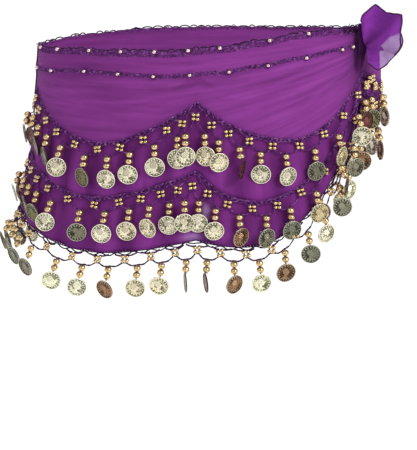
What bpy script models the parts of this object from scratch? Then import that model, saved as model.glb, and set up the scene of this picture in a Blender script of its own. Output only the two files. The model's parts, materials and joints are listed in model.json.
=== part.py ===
"""Belly dance hip scarf, as worn: three tiers of chiffon round the hips, tied at the front right.

The frame is the wearer's: X to the wearer's left as seen from the front (right in a front view),
Y to the back, Z up, with the origin in the middle of the hollow at the hip line. Angles go round
the hips from the front, positive towards +X, so the front is 0 and the knot is at KNOT_ANGLE.
Sizes are in millimetres and become metres in one place, metres().
"""
import math
from collections import namedtuple

import bmesh
import bpy
from mathutils import Matrix, Vector

MM = 0.001

# --- the form that the scarf is worn on -------------------------------------------------------
HALF_WIDTH = 167.5          # half-axes of the hip line, inside the cloth
HALF_DEPTH = 112.5
FLARE_WIDTH = 26.0          # how much wider the form is FLARE_DROP below the hip line
FLARE_DEPTH = 22.0
FLARE_DROP = 168.0
FLARE_POWER = 1.8
DRAWN_IN = 0.85             # share of the flare that the tie takes out at the hip beside it
DRAWN_ANGLE, DRAWN_SPREAD = 92.0, 38.0
KNOT_ANGLE = 60.0           # where the ends of the scarf meet
TIE_ANGLE = 56.5            # where the knot stands on the front end

# --- cloth and trim -----------------------------------------------------------------------------
CLOTH = 1.0                 # thickness of a tier's wall
LAYER = 2.2                 # from one tier's inside to the next tier's inside
TUCK = 15.0                 # how far a lower tier starts above the edge that hides it
SEAM = 0.3                  # parting between pieces that are sewn together
EDGE_SEAM = 1.8            # from a curved lower edge to the crochet, which runs in straight lengths
COLUMN = 13.2               # width of a section of the walls along the hip line
LACE = 1.6                  # thickness of the crochet
TOP_BAND = 5.0              # height of the crochet along the top edge
SECOND_BAND = 4.0           # height of the crochet line below it
EDGE_BAND = 3.2             # height of the crochet along a tier's lower edge
NET_DROP = 12.2             # from a tier's lower edge to the lower thread of its net
NET_THREAD = 1.5
NET_SAG = {1: 12.0, 2: 12.0, 3: 4.0}    # how much lower a net hangs under the scallops' peaks
SAG_POWER = 2.5
POST = 6.4                  # width of a square of four beads, which joins the two threads

# --- coin drops ---------------------------------------------------------------------------------
BEAD = 6.2                  # a drop has two beads of this size, one under the other
COIN = 19.8
COIN_THICK = 1.5
COIN_CENTRE = 22.6          # from the net's lower thread to the middle of a coin
OVERLAP_LIFT = 3.2          # a coin that lies over its neighbour stands out by this much more
CLEAR = 1.6                 # how far a drop hangs off the cloth behind it

# One row for each scallop of the edges, from the knot round by the front. begins is the angle of
# the peak where it starts, low1..low3 the angles of the lowest points of the three edges, peak and
# dip their heights at the peak and at the lowest point, drops the coin drops of each edge, and
# power how steeply the edge climbs from its lowest point to the following peak.
Scallop = namedtuple("Scallop", "name begins low1 low2 low3 peak1 dip1 peak2 dip2 peak3 dip3 "
                     "drops1 drops2 drops3 power")
SCALLOPS = [
    Scallop("front right", 60, 27, 14, 10, -29, -87, -47, -145, -60, -188, 9, 9, 9, 2.2),
    Scallop("front left", -4, -37, -38, -34, -50, -92, -116, -145, -181, -197, 10, 10, 9, 1.4),
    Scallop("side left", -80, -114, -114, -115, -47, -80, -112, -133, -169, -184, 7, 6, 7, 1.4),
    Scallop("back left", -150, -178, -178, -178, -52, -93, -112, -146, -171, -198, 7, 7, 6, 1.4),
    Scallop("back right", -205, -222, -220, -215, -52, -80, -112, -124, -168, -170, 6, 7, 6, 1.4),
    Scallop("tied end", -245, -272, -272, -272, -38, -44, -60, -63, -82, -80, 5, 4, 4, 1.4),
]
DIP_ROUND = 0.3            # how rounded a scallop's bottom is
DIP_POWER = 1.4             # how steeply an edge falls from a peak: pointed, with rounded bottoms

# Height of the top edge round the hips, and how far the second crochet line lies below it: the
# front is pulled up towards the knot, and the two lines draw together there.
TopEdge = namedtuple("TopEdge", "angle height second")
TOP_EDGE = [
    TopEdge(60, 15, 16), TopEdge(45, 18, 22), TopEdge(30, 16, 26), TopEdge(16, 10, 26),
    TopEdge(3, 4.4, 26), TopEdge(-15, 0, 26), TopEdge(-42, -1.5, 23), TopEdge(-75, -5, 24),
    TopEdge(-105, -8, 24), TopEdge(-135, -5, 24), TopEdge(-160, -2, 24), TopEdge(-200, -1, 24),
    TopEdge(-228, 2, 24), TopEdge(-250, 7, 22), TopEdge(-275, 12, 19), TopEdge(-300, 15, 16),
]

# Soft folds of the top tier: they start near the knot and die out round the front.
Fold = namedtuple("Fold", "from_angle from_height to_angle to_height raised width")
FOLDS = [
    Fold(58, 2, 8, -32, 2.4, 8.0),
    Fold(56, -8, 22, -52, 2.0, 8.0),
    Fold(20, -16, -36, -38, 1.8, 9.0),
    Fold(-48, -30, -100, -34, 1.5, 9.0),
    Fold(-118, -28, -170, -40, 1.6, 9.0),
    Fold(-186, -30, -236, -30, 1.6, 9.0),
    Fold(-240, -4, -296, 4, 2.2, 8.0),
]

# How far each coin is turned about its drop, in degrees, from the knot round by the front; the
# rows start again where they run out.
COIN_TURNS = {
    1: (5, 41, -25, -2, -17, 12, -71, -13, 15, -10, 7, -8, -11, 0, 19, -43, 24, 12, -12,
        6, -10, 8, 14, -12, 5, -16, 10),
    2: (10, 6, -62, -3, -10, -28, -37, -8, -6, -9, 3, 26, -9, -17, -30, -39, -4, 18, 8,
        -6, 9, -14, 5, 12, -8, 4, 15),
    3: (35, -10, 24, -12, 20, -8, -5, -37, 80, 80, 2, -7, 20, -29, -32, -3, -9, -7,
        5, -9, 12, -4, 10, -14, 7, -5),
}

# How far the drops of the two front scallops stand from even places, toward the knot.
DROP_SHIFTS = {
    1: (7, 7, 0, -4, -11, -12, -10, -8, -2, -1, 10, 8, 5, 4, 2, -5, -6, -4, -2),
    2: (7, 0, -1, -10, -14, -14, -14, -11, -6, 0, 6, 8, 10, 8, 4, -8, -10, -6, -2),
    3: (-3, -6, -2, -5, -5, -7, -7, -4, -2, 4, 6, 8, 6, 5, 2, -8, -8, -3),
}

# Drops beside the knot that hang out over the beads of the row below.
CROWDED = {1: (1, 2), 2: (1, 2, 3)}
CROWD_LIFT = 4.2

# Levels of a drop, from the net's thread down: half its width and half its thickness.
DropLevel = namedtuple("DropLevel", "down half_width half_thick part")
DROP_LEVELS = [
    DropLevel(-0.5, 0.5, 0.5, "root"),
    DropLevel(3.4, 0.355 * BEAD, 0.355 * BEAD, "bead"),
    DropLevel(6.6, 0.8, 0.7, "thread"),
    DropLevel(9.9, 0.355 * BEAD, 0.355 * BEAD, "bead"),
    DropLevel(COIN_CENTRE - 0.46 * COIN, 0.19 * COIN, COIN_THICK / 2, "coin"),
    DropLevel(COIN_CENTRE - 0.19 * COIN, 0.46 * COIN, COIN_THICK / 2, "coin"),
    DropLevel(COIN_CENTRE + 0.19 * COIN, 0.46 * COIN, COIN_THICK / 2, "coin"),
    DropLevel(COIN_CENTRE + 0.46 * COIN, 0.19 * COIN, COIN_THICK / 2, "coin"),
]

# --- the knot and its ends ----------------------------------------------------------------------
# Sections of the knot, up its axis: height, half-widths across and out, and the axis's own offset
# from the cloth.
KnotLevel = namedtuple("KnotLevel", "height across out stands")
KNOT_LEVELS = [
    KnotLevel(-27, 2.0, 1.6, 2.0), KnotLevel(-22, 4.2, 2.4, 2.8), KnotLevel(-13, 5.4, 3.4, 3.8),
    KnotLevel(-3, 6.6, 4.4, 4.8), KnotLevel(6, 6.0, 4.2, 4.6), KnotLevel(12, 4.8, 3.2, 3.6),
    KnotLevel(17, 3.4, 2.2, 2.6), KnotLevel(20, 1.6, 1.2, 1.8),
]
KNOT_SIDES = 8
KNOT_CLEAR = 2.0            # the knot's back stands off the cloth, over the two crochet lines

# The tied ends fan out from the knot as gathered cloth. For each end: the bearings of its first and
# last edge in the plane it opens in (0 is straight out, 90 is up), how far that plane swings to the
# front, its offset from the middle of the knot, how far out it leaves the knot, the depth and number
# of its pleats, how far its rim curls, and the reach of each ray from the first edge to the last.
Fan = namedtuple("Fan", "name first last swing apart stands pleat turns curl reaches")
FANS = [
    Fan("tie_end_upper", 98, -10, 12, 1.7, 11.1, 4.2, 3.5, 7.0,
        (25, 31, 36, 44, 42, 41, 45, 52, 49, 45, 43, 42, 38, 34)),
    Fan("tie_end_lower", 20, -84, -16, -1.7, 12.6, 3.4, 2.5, -6.0,
        (36, 36, 34, 31, 29, 28, 28, 27, 26, 21, 16)),
]
FAN_STEPS = 5
FAN_ROOT = 1.8
FAN_THICK = 1.0
FAN_HEIGHT = -2.0
FAN_PLANE = 16.0            # the planes of the fans lie either side of this turn from +X to the front


def metres(point):
    return Vector(point) * MM


def shell_point(angle, height, out=0.0):
    """A point of the form at this angle and height, moved out along the level normal."""
    turn = math.radians(angle)
    aside = ((angle - DRAWN_ANGLE + 180.0) % 360.0 - 180.0) / DRAWN_SPREAD
    grown = (max(-height, 0.0) / FLARE_DROP) ** FLARE_POWER * (1.0 - DRAWN_IN * math.exp(-aside ** 2))
    wide, deep = HALF_WIDTH + FLARE_WIDTH * grown, HALF_DEPTH + FLARE_DEPTH * grown
    normal = outward(angle)
    return Vector((wide * math.sin(turn) + out * normal.x, -deep * math.cos(turn) + out * normal.y,
                   height))


def outward(angle):
    turn = math.radians(angle)
    return Vector((math.sin(turn) / HALF_WIDTH, -math.cos(turn) / HALF_DEPTH, 0)).normalized()


def arc_table(steps=720):
    """Length along the hip line from the knot, at every half degree round by the front."""
    lengths = [0.0]
    for index in range(steps):
        first = shell_point(KNOT_ANGLE - 360.0 * index / steps, 0)
        last = shell_point(KNOT_ANGLE - 360.0 * (index + 1) / steps, 0)
        lengths.append(lengths[-1] + (last - first).length)
    return lengths


ARC = arc_table()


def length_at(angle):
    place = (KNOT_ANGLE - angle) * (len(ARC) - 1) / 360.0
    whole = min(int(place), len(ARC) - 2)
    return ARC[whole] + (place - whole) * (ARC[whole + 1] - ARC[whole])


def angle_at(length):
    low, high = KNOT_ANGLE - 360.0, KNOT_ANGLE
    for _ in range(40):
        middle = (low + high) / 2
        low, high = (middle, high) if length_at(middle) > length else (low, middle)
    return (low + high) / 2


def scallop_at(angle):
    """The scallop round this angle and the one after it, which shares its last peak."""
    index = max(i for i, scallop in enumerate(SCALLOPS) if angle <= scallop.begins + 1e-6)
    following = SCALLOPS[(index + 1) % len(SCALLOPS)]
    ends = following.begins if index + 1 < len(SCALLOPS) else KNOT_ANGLE - 360.0
    return SCALLOPS[index], following, ends


def edge_height(row, angle):
    """Height of the lower edge of a tier."""
    scallop, following, ends = scallop_at(angle)
    lowest = getattr(scallop, "low%d" % row)
    dip = getattr(scallop, "dip%d" % row)
    power = DIP_POWER if angle > lowest else scallop.power
    if angle > lowest:
        peak, away = getattr(scallop, "peak%d" % row), (angle - lowest) / (scallop.begins - lowest)
    else:
        peak, away = getattr(following, "peak%d" % row), (lowest - angle) / (lowest - ends)

    def rise(share):
        return (share ** 2 + DIP_ROUND ** 2) ** (power / 2) - DIP_ROUND ** power

    return peak + (dip - peak) * (1.0 - rise(min(away, 1.0)) / rise(1.0))


def top_edge(angle):
    """The top edge at this angle, eased between the table's rows."""
    for first, last in zip(TOP_EDGE, TOP_EDGE[1:]):
        if last.angle <= angle <= first.angle + 1e-6:
            part = (first.angle - angle) / (first.angle - last.angle)
            part = part * part * (3 - 2 * part)
            return TopEdge(angle, first.height + (last.height - first.height) * part,
                           first.second + (last.second - first.second) * part)
    return TOP_EDGE[0]


def second_height(angle):
    edge = top_edge(angle)
    return edge.height - edge.second


def fold_height(angle, height):
    """How far the folds stand out here; they fade above the edge where tiers overlap."""
    along, total = length_at(angle), 0.0
    for fold in FOLDS:
        start = Vector((length_at(fold.from_angle), fold.from_height))
        run = Vector((length_at(fold.to_angle), fold.to_height)) - start
        here = Vector((along, height)) - start
        part = here.dot(run) / run.length_squared
        aside = (here - run * part).length
        fade = max(0.0, min(1.0, 4 * part, 4 * (1 - part)))
        total += fold.raised * fade * math.exp(-(aside / fold.width) ** 2)
    above = (height - edge_height(1, angle) - TUCK - 4) / 10.0
    return total * max(0.0, min(1.0, above))


def make_columns():
    """Angles of the walls' sections: even along each scallop, with one at every peak."""
    angles = []
    for index, scallop in enumerate(SCALLOPS):
        last = index + 1 == len(SCALLOPS)
        ends = KNOT_ANGLE - 360.0 if last else SCALLOPS[index + 1].begins
        start, stop = length_at(scallop.begins), length_at(ends)
        count = max(4, round((stop - start) / COLUMN))
        angles += [angle_at(start + (stop - start) * step / count) for step in range(count)]
    return angles


COLUMNS = make_columns()


def inside_of(row):
    """Offset of a tier's inner face from the form."""
    return LAYER * (3 - row)


def tier_heights(row, angle):
    """Heights of a tier's rings at this angle, from its top edge down."""
    low = edge_height(row, angle)
    if row == 1:
        top, second = top_edge(angle).height - TOP_BAND - SEAM, second_height(angle)
        return [top, second, second + (low - second) * 0.5, low]
    hidden = edge_height(row - 1, angle) + TUCK
    return [hidden, hidden + (low - hidden) * 0.5, low]


def wall_column(row, angle, out=0.0):
    """Points of a tier's inner face down one section, moved out."""
    points = []
    for height in tier_heights(row, angle):
        raised = fold_height(angle, height) if row == 1 else 0.0
        points.append(shell_point(angle, height, inside_of(row) + raised + out))
    return points


def on_wall(points, height):
    """A point of a section's line at this height, beyond its ends too."""
    for first, last in zip(points, points[1:]):
        if height >= last.z or last is points[-1]:
            return first.lerp(last, (first.z - height) / (first.z - last.z))


def ring_mesh(name, sections):
    """A closed ring: one closed section of points for each column, joined to the next."""
    mesh = bmesh.new()
    rings = [[mesh.verts.new(metres(point)) for point in section] for section in sections]
    for ring, following in zip(rings, rings[1:] + rings[:1]):
        for index in range(len(ring)):
            other = (index + 1) % len(ring)
            mesh.faces.new((ring[index], ring[other], following[other], following[index]))
    return finish_mesh(name, mesh)


def loft_mesh(name, sections):
    """A closed body: sections of equal numbers of points, joined in order, with both ends closed."""
    mesh = bmesh.new()
    add_loft(mesh, sections)
    return finish_mesh(name, mesh)


def add_loft(mesh, sections):
    rings = [[mesh.verts.new(metres(point)) for point in section] for section in sections]
    for ring, following in zip(rings, rings[1:]):
        for index in range(len(ring)):
            other = (index + 1) % len(ring)
            mesh.faces.new((ring[index], ring[other], following[other], following[index]))
    mesh.faces.new(list(reversed(rings[0])))
    mesh.faces.new(rings[-1])


def finish_mesh(name, mesh):
    bmesh.ops.recalc_face_normals(mesh, faces=mesh.faces)
    data = bpy.data.meshes.new(name)
    mesh.to_mesh(data)
    mesh.free()
    return bpy.data.objects.new(name, data)


def make_tier(row):
    sections = []
    for angle in COLUMNS:
        sections.append(wall_column(row, angle) + wall_column(row, angle, CLOTH)[::-1])
    return ring_mesh("cloth_tier_%d" % row, sections)


def band_section(angle, row, top, bottom, inner, outer):
    """Four corners of a band that follows a tier's own points between two heights."""
    near, far = wall_column(row, angle, inner), wall_column(row, angle, outer)
    return [on_wall(near, top), on_wall(near, bottom), on_wall(far, bottom), on_wall(far, top)]


def make_top_band():
    sections = []
    for angle in COLUMNS:
        top = top_edge(angle).height
        sections.append(band_section(angle, 1, top, top - TOP_BAND, -0.3, LACE - 0.3))
    return ring_mesh("top_crochet_band", sections)


def make_second_band():
    sections = []
    for angle in COLUMNS:
        top = second_height(angle) + SECOND_BAND / 2
        sections.append(band_section(angle, 1, top, top - SECOND_BAND, CLOTH + SEAM,
                                     CLOTH + SEAM + 1.3))
    return ring_mesh("second_crochet_band", sections)


Place = namedtuple("Place", "point along out down")


def net_place(row, length, down, out):
    """Where something of the net stands: a point on the thread's straight run between sections."""
    angle = angle_at(length)
    spots = [length_at(column) for column in COLUMNS] + [ARC[-1]]
    index = max(i for i in range(len(COLUMNS)) if spots[i] <= length + 1e-6)
    first, last = COLUMNS[index], (COLUMNS + [KNOT_ANGLE - 360.0])[index + 1]
    part = (length - spots[index]) / (spots[index + 1] - spots[index])

    def spot(column, below):
        return shell_point(column, edge_height(row, column) - below, inside_of(row) + out)

    point = spot(first, down).lerp(spot(last, down), part)
    below = spot(first, down + 33).lerp(spot(last, down + 33), part)
    along = (spot(first, 0) - spot(last, 0))
    along.z = 0
    axis = (below - point).normalized()
    along = along.normalized()
    return Place(point, along, along.cross(axis).normalized() * -1, axis)


def sag(row, length):
    """How much lower than its place the net hangs: most under a peak, where it spans the scallops."""
    angle = angle_at(length)
    scallop, following, ends = scallop_at(angle)
    lowest = getattr(scallop, "low%d" % row)
    reach = scallop.begins - lowest if angle > lowest else lowest - ends
    return NET_SAG[row] * min(abs(angle - lowest) / reach, 1.0) ** SAG_POWER


def edge_lengths(row):
    """Hip-line lengths of the drops of a row, even along each scallop's own edge."""
    places = []
    for index, scallop in enumerate(SCALLOPS):
        last = index + 1 == len(SCALLOPS)
        start = length_at(scallop.begins)
        stop = ARC[-1] if last else length_at(SCALLOPS[index + 1].begins)
        steps = [start + (stop - start) * step / 60 for step in range(61)]
        points = [shell_point(angle_at(step), edge_height(row, angle_at(step))) for step in steps]
        runs = [0.0]
        for first, following in zip(points, points[1:]):
            runs.append(runs[-1] + (following - first).length)
        count = getattr(scallop, "drops%d" % row)
        for number in range(count):
            target = runs[-1] * (number + 0.5) / count
            step = max(i for i in range(60) if runs[i] <= target)
            part = (target - runs[step]) / (runs[step + 1] - runs[step])
            shifts = DROP_SHIFTS[row]
            shift = shifts[len(places)] if len(places) < len(shifts) else 2.0 * math.sin(2.4 * number)
            places.append((steps[step] + part * (steps[1] - steps[0]) - shift, index, number))
    return places


def hook_height(row, length):
    return edge_height(row, angle_at(length)) - sag(row, length)


Drop = namedtuple("Drop", "row length scallop number turn lift")


def hook_point(row, length):
    angle = angle_at(length)
    return shell_point(angle, hook_height(row, length) - NET_DROP - NET_THREAD, inside_of(row))


def in_coin(aside, above):
    """Whether a drop's thread, beads or coin would hang in the coin of one higher up beside it."""
    for down, half in ((0.0, 0.8), (3.4, 2.6), (9.9, 2.6), (COIN_CENTRE, 0.49 * COIN)):
        if math.hypot(aside, above + down - COIN_CENTRE) < 0.49 * COIN + half + 0.3:
            return True
    return False


def plan_drops():
    """All the drops, the top row first; one that would hang in a higher one's coin is left out."""
    drops = []
    for row in (1, 2, 3):
        for count, (length, scallop, number) in enumerate(edge_lengths(row)):
            turn = COIN_TURNS[row][count % len(COIN_TURNS[row])]
            lift = OVERLAP_LIFT if number == 0 and scallop > 0 else 0.0
            if count in CROWDED.get(row, ()):
                lift = CROWD_LIFT
            away = [hook_point(other.row, other.length) - hook_point(row, length)
                    for other in drops if other.row < row and other.lift < CROWD_LIFT]
            if not any(in_coin(math.hypot(off.x, off.y), off.z) for off in away):
                drops.append(Drop(row, length, scallop, number, turn, lift))
    return drops


def drop_out(drop, level):
    """How far a level of a drop stands out from its tier's inner face."""
    rest = -LAYER + CLOTH + CLEAR
    bead = rest + BEAD / 2
    coin = max(bead, rest + 0.46 * COIN * abs(math.sin(math.radians(drop.turn))) + COIN_THICK / 2)
    if level.part == "root":
        return LACE / 2
    part = min(1.0, level.down / (COIN_CENTRE - 0.46 * COIN))
    return bead + (coin - bead) * part + drop.lift * min(1.0, level.down / 3.4)


def thread_place(row, length):
    """The place under the net's lower thread, which runs straight between two bead squares."""
    squares = [(post, post + ARC[-1]) for post in post_lengths(row)]
    before = max(post if post < length else post - ARC[-1] for post, _ in squares) + POST / 2
    after = min(post if post > length else following for post, following in squares) - POST / 2
    near, here, far = (net_place(row, spot % ARC[-1], NET_DROP + sag(row, spot % ARC[-1]) + NET_THREAD,
                                 0.0) for spot in (before, length, after))
    point = near.point.lerp(far.point, (length - before) / (after - before))
    return Place(point, here.along, here.out, here.down)


def drop_sections(drop):
    place = thread_place(drop.row, drop.length)
    turned = Matrix.Rotation(math.radians(drop.turn), 3, place.down)
    across, through = turned @ place.along, turned @ place.out
    sections = []
    for level in DROP_LEVELS:
        centre = place.point + place.down * level.down + place.out * drop_out(drop, level)
        wide, thick = across * level.half_width, through * level.half_thick
        sections.append([centre + wide + thick, centre - wide + thick,
                         centre - wide - thick, centre + wide - thick])
    return sections


def post_lengths(row):
    """Squares of beads stand between the drops, so also at the scallops' peaks."""
    spots = [length for length, _, _ in edge_lengths(row)]
    middles = [(first + last) / 2 for first, last in zip(spots, spots[1:])]
    return middles + [(spots[-1] + ARC[-1] + spots[0]) / 2 % ARC[-1]]


def net_section(row, length):
    """Corners of the net's two threads at this length: four of the crochet edge, four of the lower."""
    points = []
    for down, tall in ((EDGE_SEAM, EDGE_BAND), (NET_DROP + sag(row, length), NET_THREAD)):
        for out, below in ((0.0, 0), (0.0, tall), (LACE, tall), (LACE, 0)):
            points.append(net_place(row, length, down + below, out).point)
    return points


def make_net(row):
    """Crochet edge and lower thread, joined by the bead squares, with the gaps between them open."""
    mesh = bmesh.new()
    ends = []
    for length in sorted(post_lengths(row)):
        for side in (-1, 1):
            ends.append((length + side * POST / 2) % ARC[-1])
    rings = [[mesh.verts.new(metres(point)) for point in net_section(row, end)] for end in ends]
    for number, ring in enumerate(rings):
        following = rings[(number + 1) % len(rings)]
        inside_post = number % 2 == 0
        if inside_post:
            runs = ((0, 1), (1, 4), (4, 5), (5, 6), (6, 7), (7, 2), (2, 3), (3, 0))
        else:
            runs = ((0, 1), (1, 2), (2, 3), (3, 0), (4, 5), (5, 6), (6, 7), (7, 4))
        for near, far in runs:
            mesh.faces.new((ring[near], ring[far], following[far], following[near]))
        mesh.faces.new((ring[1], ring[2], ring[7], ring[4]))
    return finish_mesh("coin_row_%d" % row, mesh)


def make_coin_row(row, drops):
    """The crochet edge, net, bead squares and coin drops below one tier, fused."""
    hanging = bmesh.new()
    for drop in drops:
        if drop.row == row:
            add_loft(hanging, drop_sections(drop))
    return fused(make_net(row), [finish_mesh("drops_%d" % row, hanging)])


def make_knot():
    """The knot: sections stacked up the line where the ends are tied."""
    out, up = outward(TIE_ANGLE), Vector((0, 0, 1))
    across = up.cross(out)
    sections = []
    for index, level in enumerate(KNOT_LEVELS):
        face = inside_of(1) + CLOTH + KNOT_CLEAR + level.stands
        centre = shell_point(TIE_ANGLE, min(level.height, 0.0), face)
        centre.z = level.height
        ring = []
        for side in range(KNOT_SIDES):
            turn = 2 * math.pi * side / KNOT_SIDES
            bulge = 1.0 + 0.10 * math.cos(3 * turn + 0.9 * index)
            ring.append(centre + across * level.across * bulge * math.cos(turn)
                        + out * level.out * bulge * math.sin(turn))
        sections.append(ring)
    return loft_mesh("knot", sections)


def fan_point(fan, ray, step, side):
    """A point of a gathered end: ray across the fan, step from the knot out, side of the cloth."""
    across = ray / (len(fan.reaches) - 1)
    part = step / FAN_STEPS
    bearing = math.radians(fan.first + (fan.last - fan.first) * across)
    reach = FAN_ROOT + (fan.reaches[ray] - FAN_ROOT) * part
    plane = math.radians(FAN_PLANE + fan.swing)
    level = Vector((math.cos(plane), -math.sin(plane), 0))
    ahead = Vector((-math.sin(plane), -math.cos(plane), 0))
    root = shell_point(TIE_ANGLE, 0, inside_of(1) + CLOTH + fan.stands)
    root.z = FAN_HEIGHT
    wave = math.sin(2 * math.pi * fan.turns * across + 0.6) * fan.pleat * math.sin(math.pi * part / 2)
    depth = fan.apart + wave + fan.curl * part * part * math.cos(bearing)
    depth += side * FAN_THICK / 2
    return (root + level * reach * math.cos(bearing) + Vector((0, 0, 1)) * reach * math.sin(bearing)
            + ahead * depth)


def make_fan(fan):
    """A gathered end of the scarf: a pleated wall, closed all round its edge."""
    mesh = bmesh.new()
    count = len(fan.reaches)
    grids = []
    for side in (1, -1):
        grids.append([[mesh.verts.new(metres(fan_point(fan, ray, step, side)))
                       for step in range(FAN_STEPS + 1)] for ray in range(count)])
    front, back = grids
    for ray in range(count - 1):
        for step in range(FAN_STEPS):
            for grid in grids:
                mesh.faces.new((grid[ray][step], grid[ray + 1][step], grid[ray + 1][step + 1],
                                grid[ray][step + 1]))
    for ray in range(count - 1):
        for step in (0, FAN_STEPS):
            mesh.faces.new((front[ray][step], front[ray + 1][step], back[ray + 1][step],
                            back[ray][step]))
    for step in range(FAN_STEPS):
        for ray in (0, count - 1):
            mesh.faces.new((front[ray][step], front[ray][step + 1], back[ray][step + 1],
                            back[ray][step]))
    return finish_mesh(fan.name, mesh)


def fused(target, others):
    """Unite objects into the first one."""
    bpy.context.scene.collection.objects.link(target)
    for other in others:
        bpy.context.scene.collection.objects.link(other)
        union = target.modifiers.new("join " + other.name, "BOOLEAN")
        union.operation, union.solver, union.object = "UNION", "EXACT", other
        union.use_self = False
    bpy.context.view_layer.update()
    result = bpy.data.meshes.new_from_object(
        target.evaluated_get(bpy.context.evaluated_depsgraph_get()))
    target.modifiers.clear()
    target.data = result
    bpy.context.scene.collection.objects.unlink(target)
    for other in others:
        bpy.data.objects.remove(other)
    return target


# name, base colour, roughness, metallic
Paint = namedtuple("Paint", "name colour roughness metallic")
PAINTS = {
    "cloth_tier": Paint("purple_chiffon", (0.21, 0.035, 0.22, 1), 0.75, 0.0),
    "top_crochet": Paint("violet_crochet", (0.08, 0.02, 0.22, 1), 0.9, 0.0),
    "second_crochet": Paint("violet_crochet", (0.08, 0.02, 0.22, 1), 0.9, 0.0),
    "coin_row": Paint("pale_gold", (0.62, 0.52, 0.30, 1), 0.35, 0.9),
    "knot": Paint("purple_chiffon", (0.16, 0.03, 0.19, 1), 0.75, 0.0),
    "tie_end": Paint("purple_chiffon", (0.24, 0.06, 0.27, 1), 0.75, 0.0),
}


def paint(item):
    kind = next(paint for key, paint in PAINTS.items() if item.name.startswith(key))
    material = bpy.data.materials.new(item.name + "_" + kind.name)
    material.use_nodes = True
    shader = material.node_tree.nodes["Principled BSDF"]
    shader.inputs["Base Color"].default_value = kind.colour
    shader.inputs["Roughness"].default_value = kind.roughness
    shader.inputs["Metallic"].default_value = kind.metallic
    item.data.materials.clear()
    item.data.materials.append(material)


def main():
    for item in list(bpy.data.objects):
        bpy.data.objects.remove(item, do_unlink=True)
    garment = bpy.data.collections.new("belly_dance_hip_scarf")
    bpy.context.scene.collection.children.link(garment)
    drops = plan_drops()
    pieces = [make_tier(row) for row in (1, 2, 3)]
    pieces += [make_top_band(), make_second_band()]
    pieces += [make_coin_row(row, drops) for row in (1, 2, 3)]
    pieces += [make_knot()] + [make_fan(fan) for fan in FANS]
    for piece in pieces:
        paint(piece)
        garment.objects.link(piece)


main()
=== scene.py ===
"""Belly dance hip scarf, as worn: chiffon tiers, crochet, nets of beads and coin drops.

The frame is the wearer's: X to the right of a front view, Y to the back, Z up, with the origin in
the middle of the hollow at the hip line. Sizes in the tables are in millimetres.
"""
import json
import math
import random
from collections import namedtuple

import bmesh
import bpy
from mathutils import Euler, Matrix, Vector, noise

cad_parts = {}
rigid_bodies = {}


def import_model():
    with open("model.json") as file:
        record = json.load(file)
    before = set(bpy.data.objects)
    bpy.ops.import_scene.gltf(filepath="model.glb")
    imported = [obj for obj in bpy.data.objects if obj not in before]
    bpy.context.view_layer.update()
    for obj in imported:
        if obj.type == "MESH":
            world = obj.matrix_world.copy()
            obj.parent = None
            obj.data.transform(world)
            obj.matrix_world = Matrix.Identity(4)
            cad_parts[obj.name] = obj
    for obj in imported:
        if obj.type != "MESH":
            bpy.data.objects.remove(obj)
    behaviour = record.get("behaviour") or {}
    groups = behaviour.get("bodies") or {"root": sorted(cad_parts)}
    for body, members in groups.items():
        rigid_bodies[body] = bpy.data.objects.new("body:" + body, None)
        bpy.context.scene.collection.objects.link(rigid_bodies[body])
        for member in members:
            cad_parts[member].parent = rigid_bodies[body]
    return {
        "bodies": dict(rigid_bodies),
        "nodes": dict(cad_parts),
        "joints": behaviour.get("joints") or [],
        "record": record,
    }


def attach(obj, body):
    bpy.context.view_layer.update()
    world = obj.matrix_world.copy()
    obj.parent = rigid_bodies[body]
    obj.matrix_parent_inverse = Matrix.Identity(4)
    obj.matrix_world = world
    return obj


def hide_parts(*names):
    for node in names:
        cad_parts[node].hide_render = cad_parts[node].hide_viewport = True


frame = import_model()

bl_info = {
    "name": "Belly Dance Hip Scarf",
    "version": (1, 0, 0),
    "blender": (4, 5, 0),
    "location": "View3D > Sidebar > Hip Scarf",
    "description": "Builds the visible pieces of a worn coin hip scarf on its frame",
    "category": "Object",
}

MM = 0.001
UP = Vector((0, 0, 1))
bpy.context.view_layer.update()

# --- the form that the scarf is worn on ---------------------------------------------------------
HALF_WIDTH, HALF_DEPTH = 167.5, 112.5
FLARE_WIDTH, FLARE_DEPTH, FLARE_DROP, FLARE_POWER = 26.0, 22.0, 168.0, 1.8
DRAWN_IN, DRAWN_ANGLE, DRAWN_SPREAD = 0.85, 92.0, 38.0
KNOT_ANGLE, TIE_ANGLE, SIDE_SEAM = 60.0, 56.5, -88.0
CLOTH, LAYER, TUCK = 1.0, 2.2, 15.0
LACE, TOP_BAND = 1.6, 5.0
NET_DROP, NET_THREAD = 12.2, 1.5
BEAD, COIN, COIN_THICK = 6.2, 19.8, 1.5
BEAD_CENTRES, COIN_CENTRE, DROP_LENGTH = (3.4, 9.9), 22.6, 33      # of a drop, below its hook
OVERLAP_LIFT, CLEAR = 3.2, 1.6
CROWDED, CROWD_LIFT = {1: (1, 2), 2: (1, 2, 3)}, 4.2       # drops beside the knot, over the row below
DIP_ROUND, DIP_POWER = 0.3, 1.4
NET_SAG, SAG_POWER = {1: 12.0, 2: 12.0, 3: 4.0}, 2.5

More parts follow.
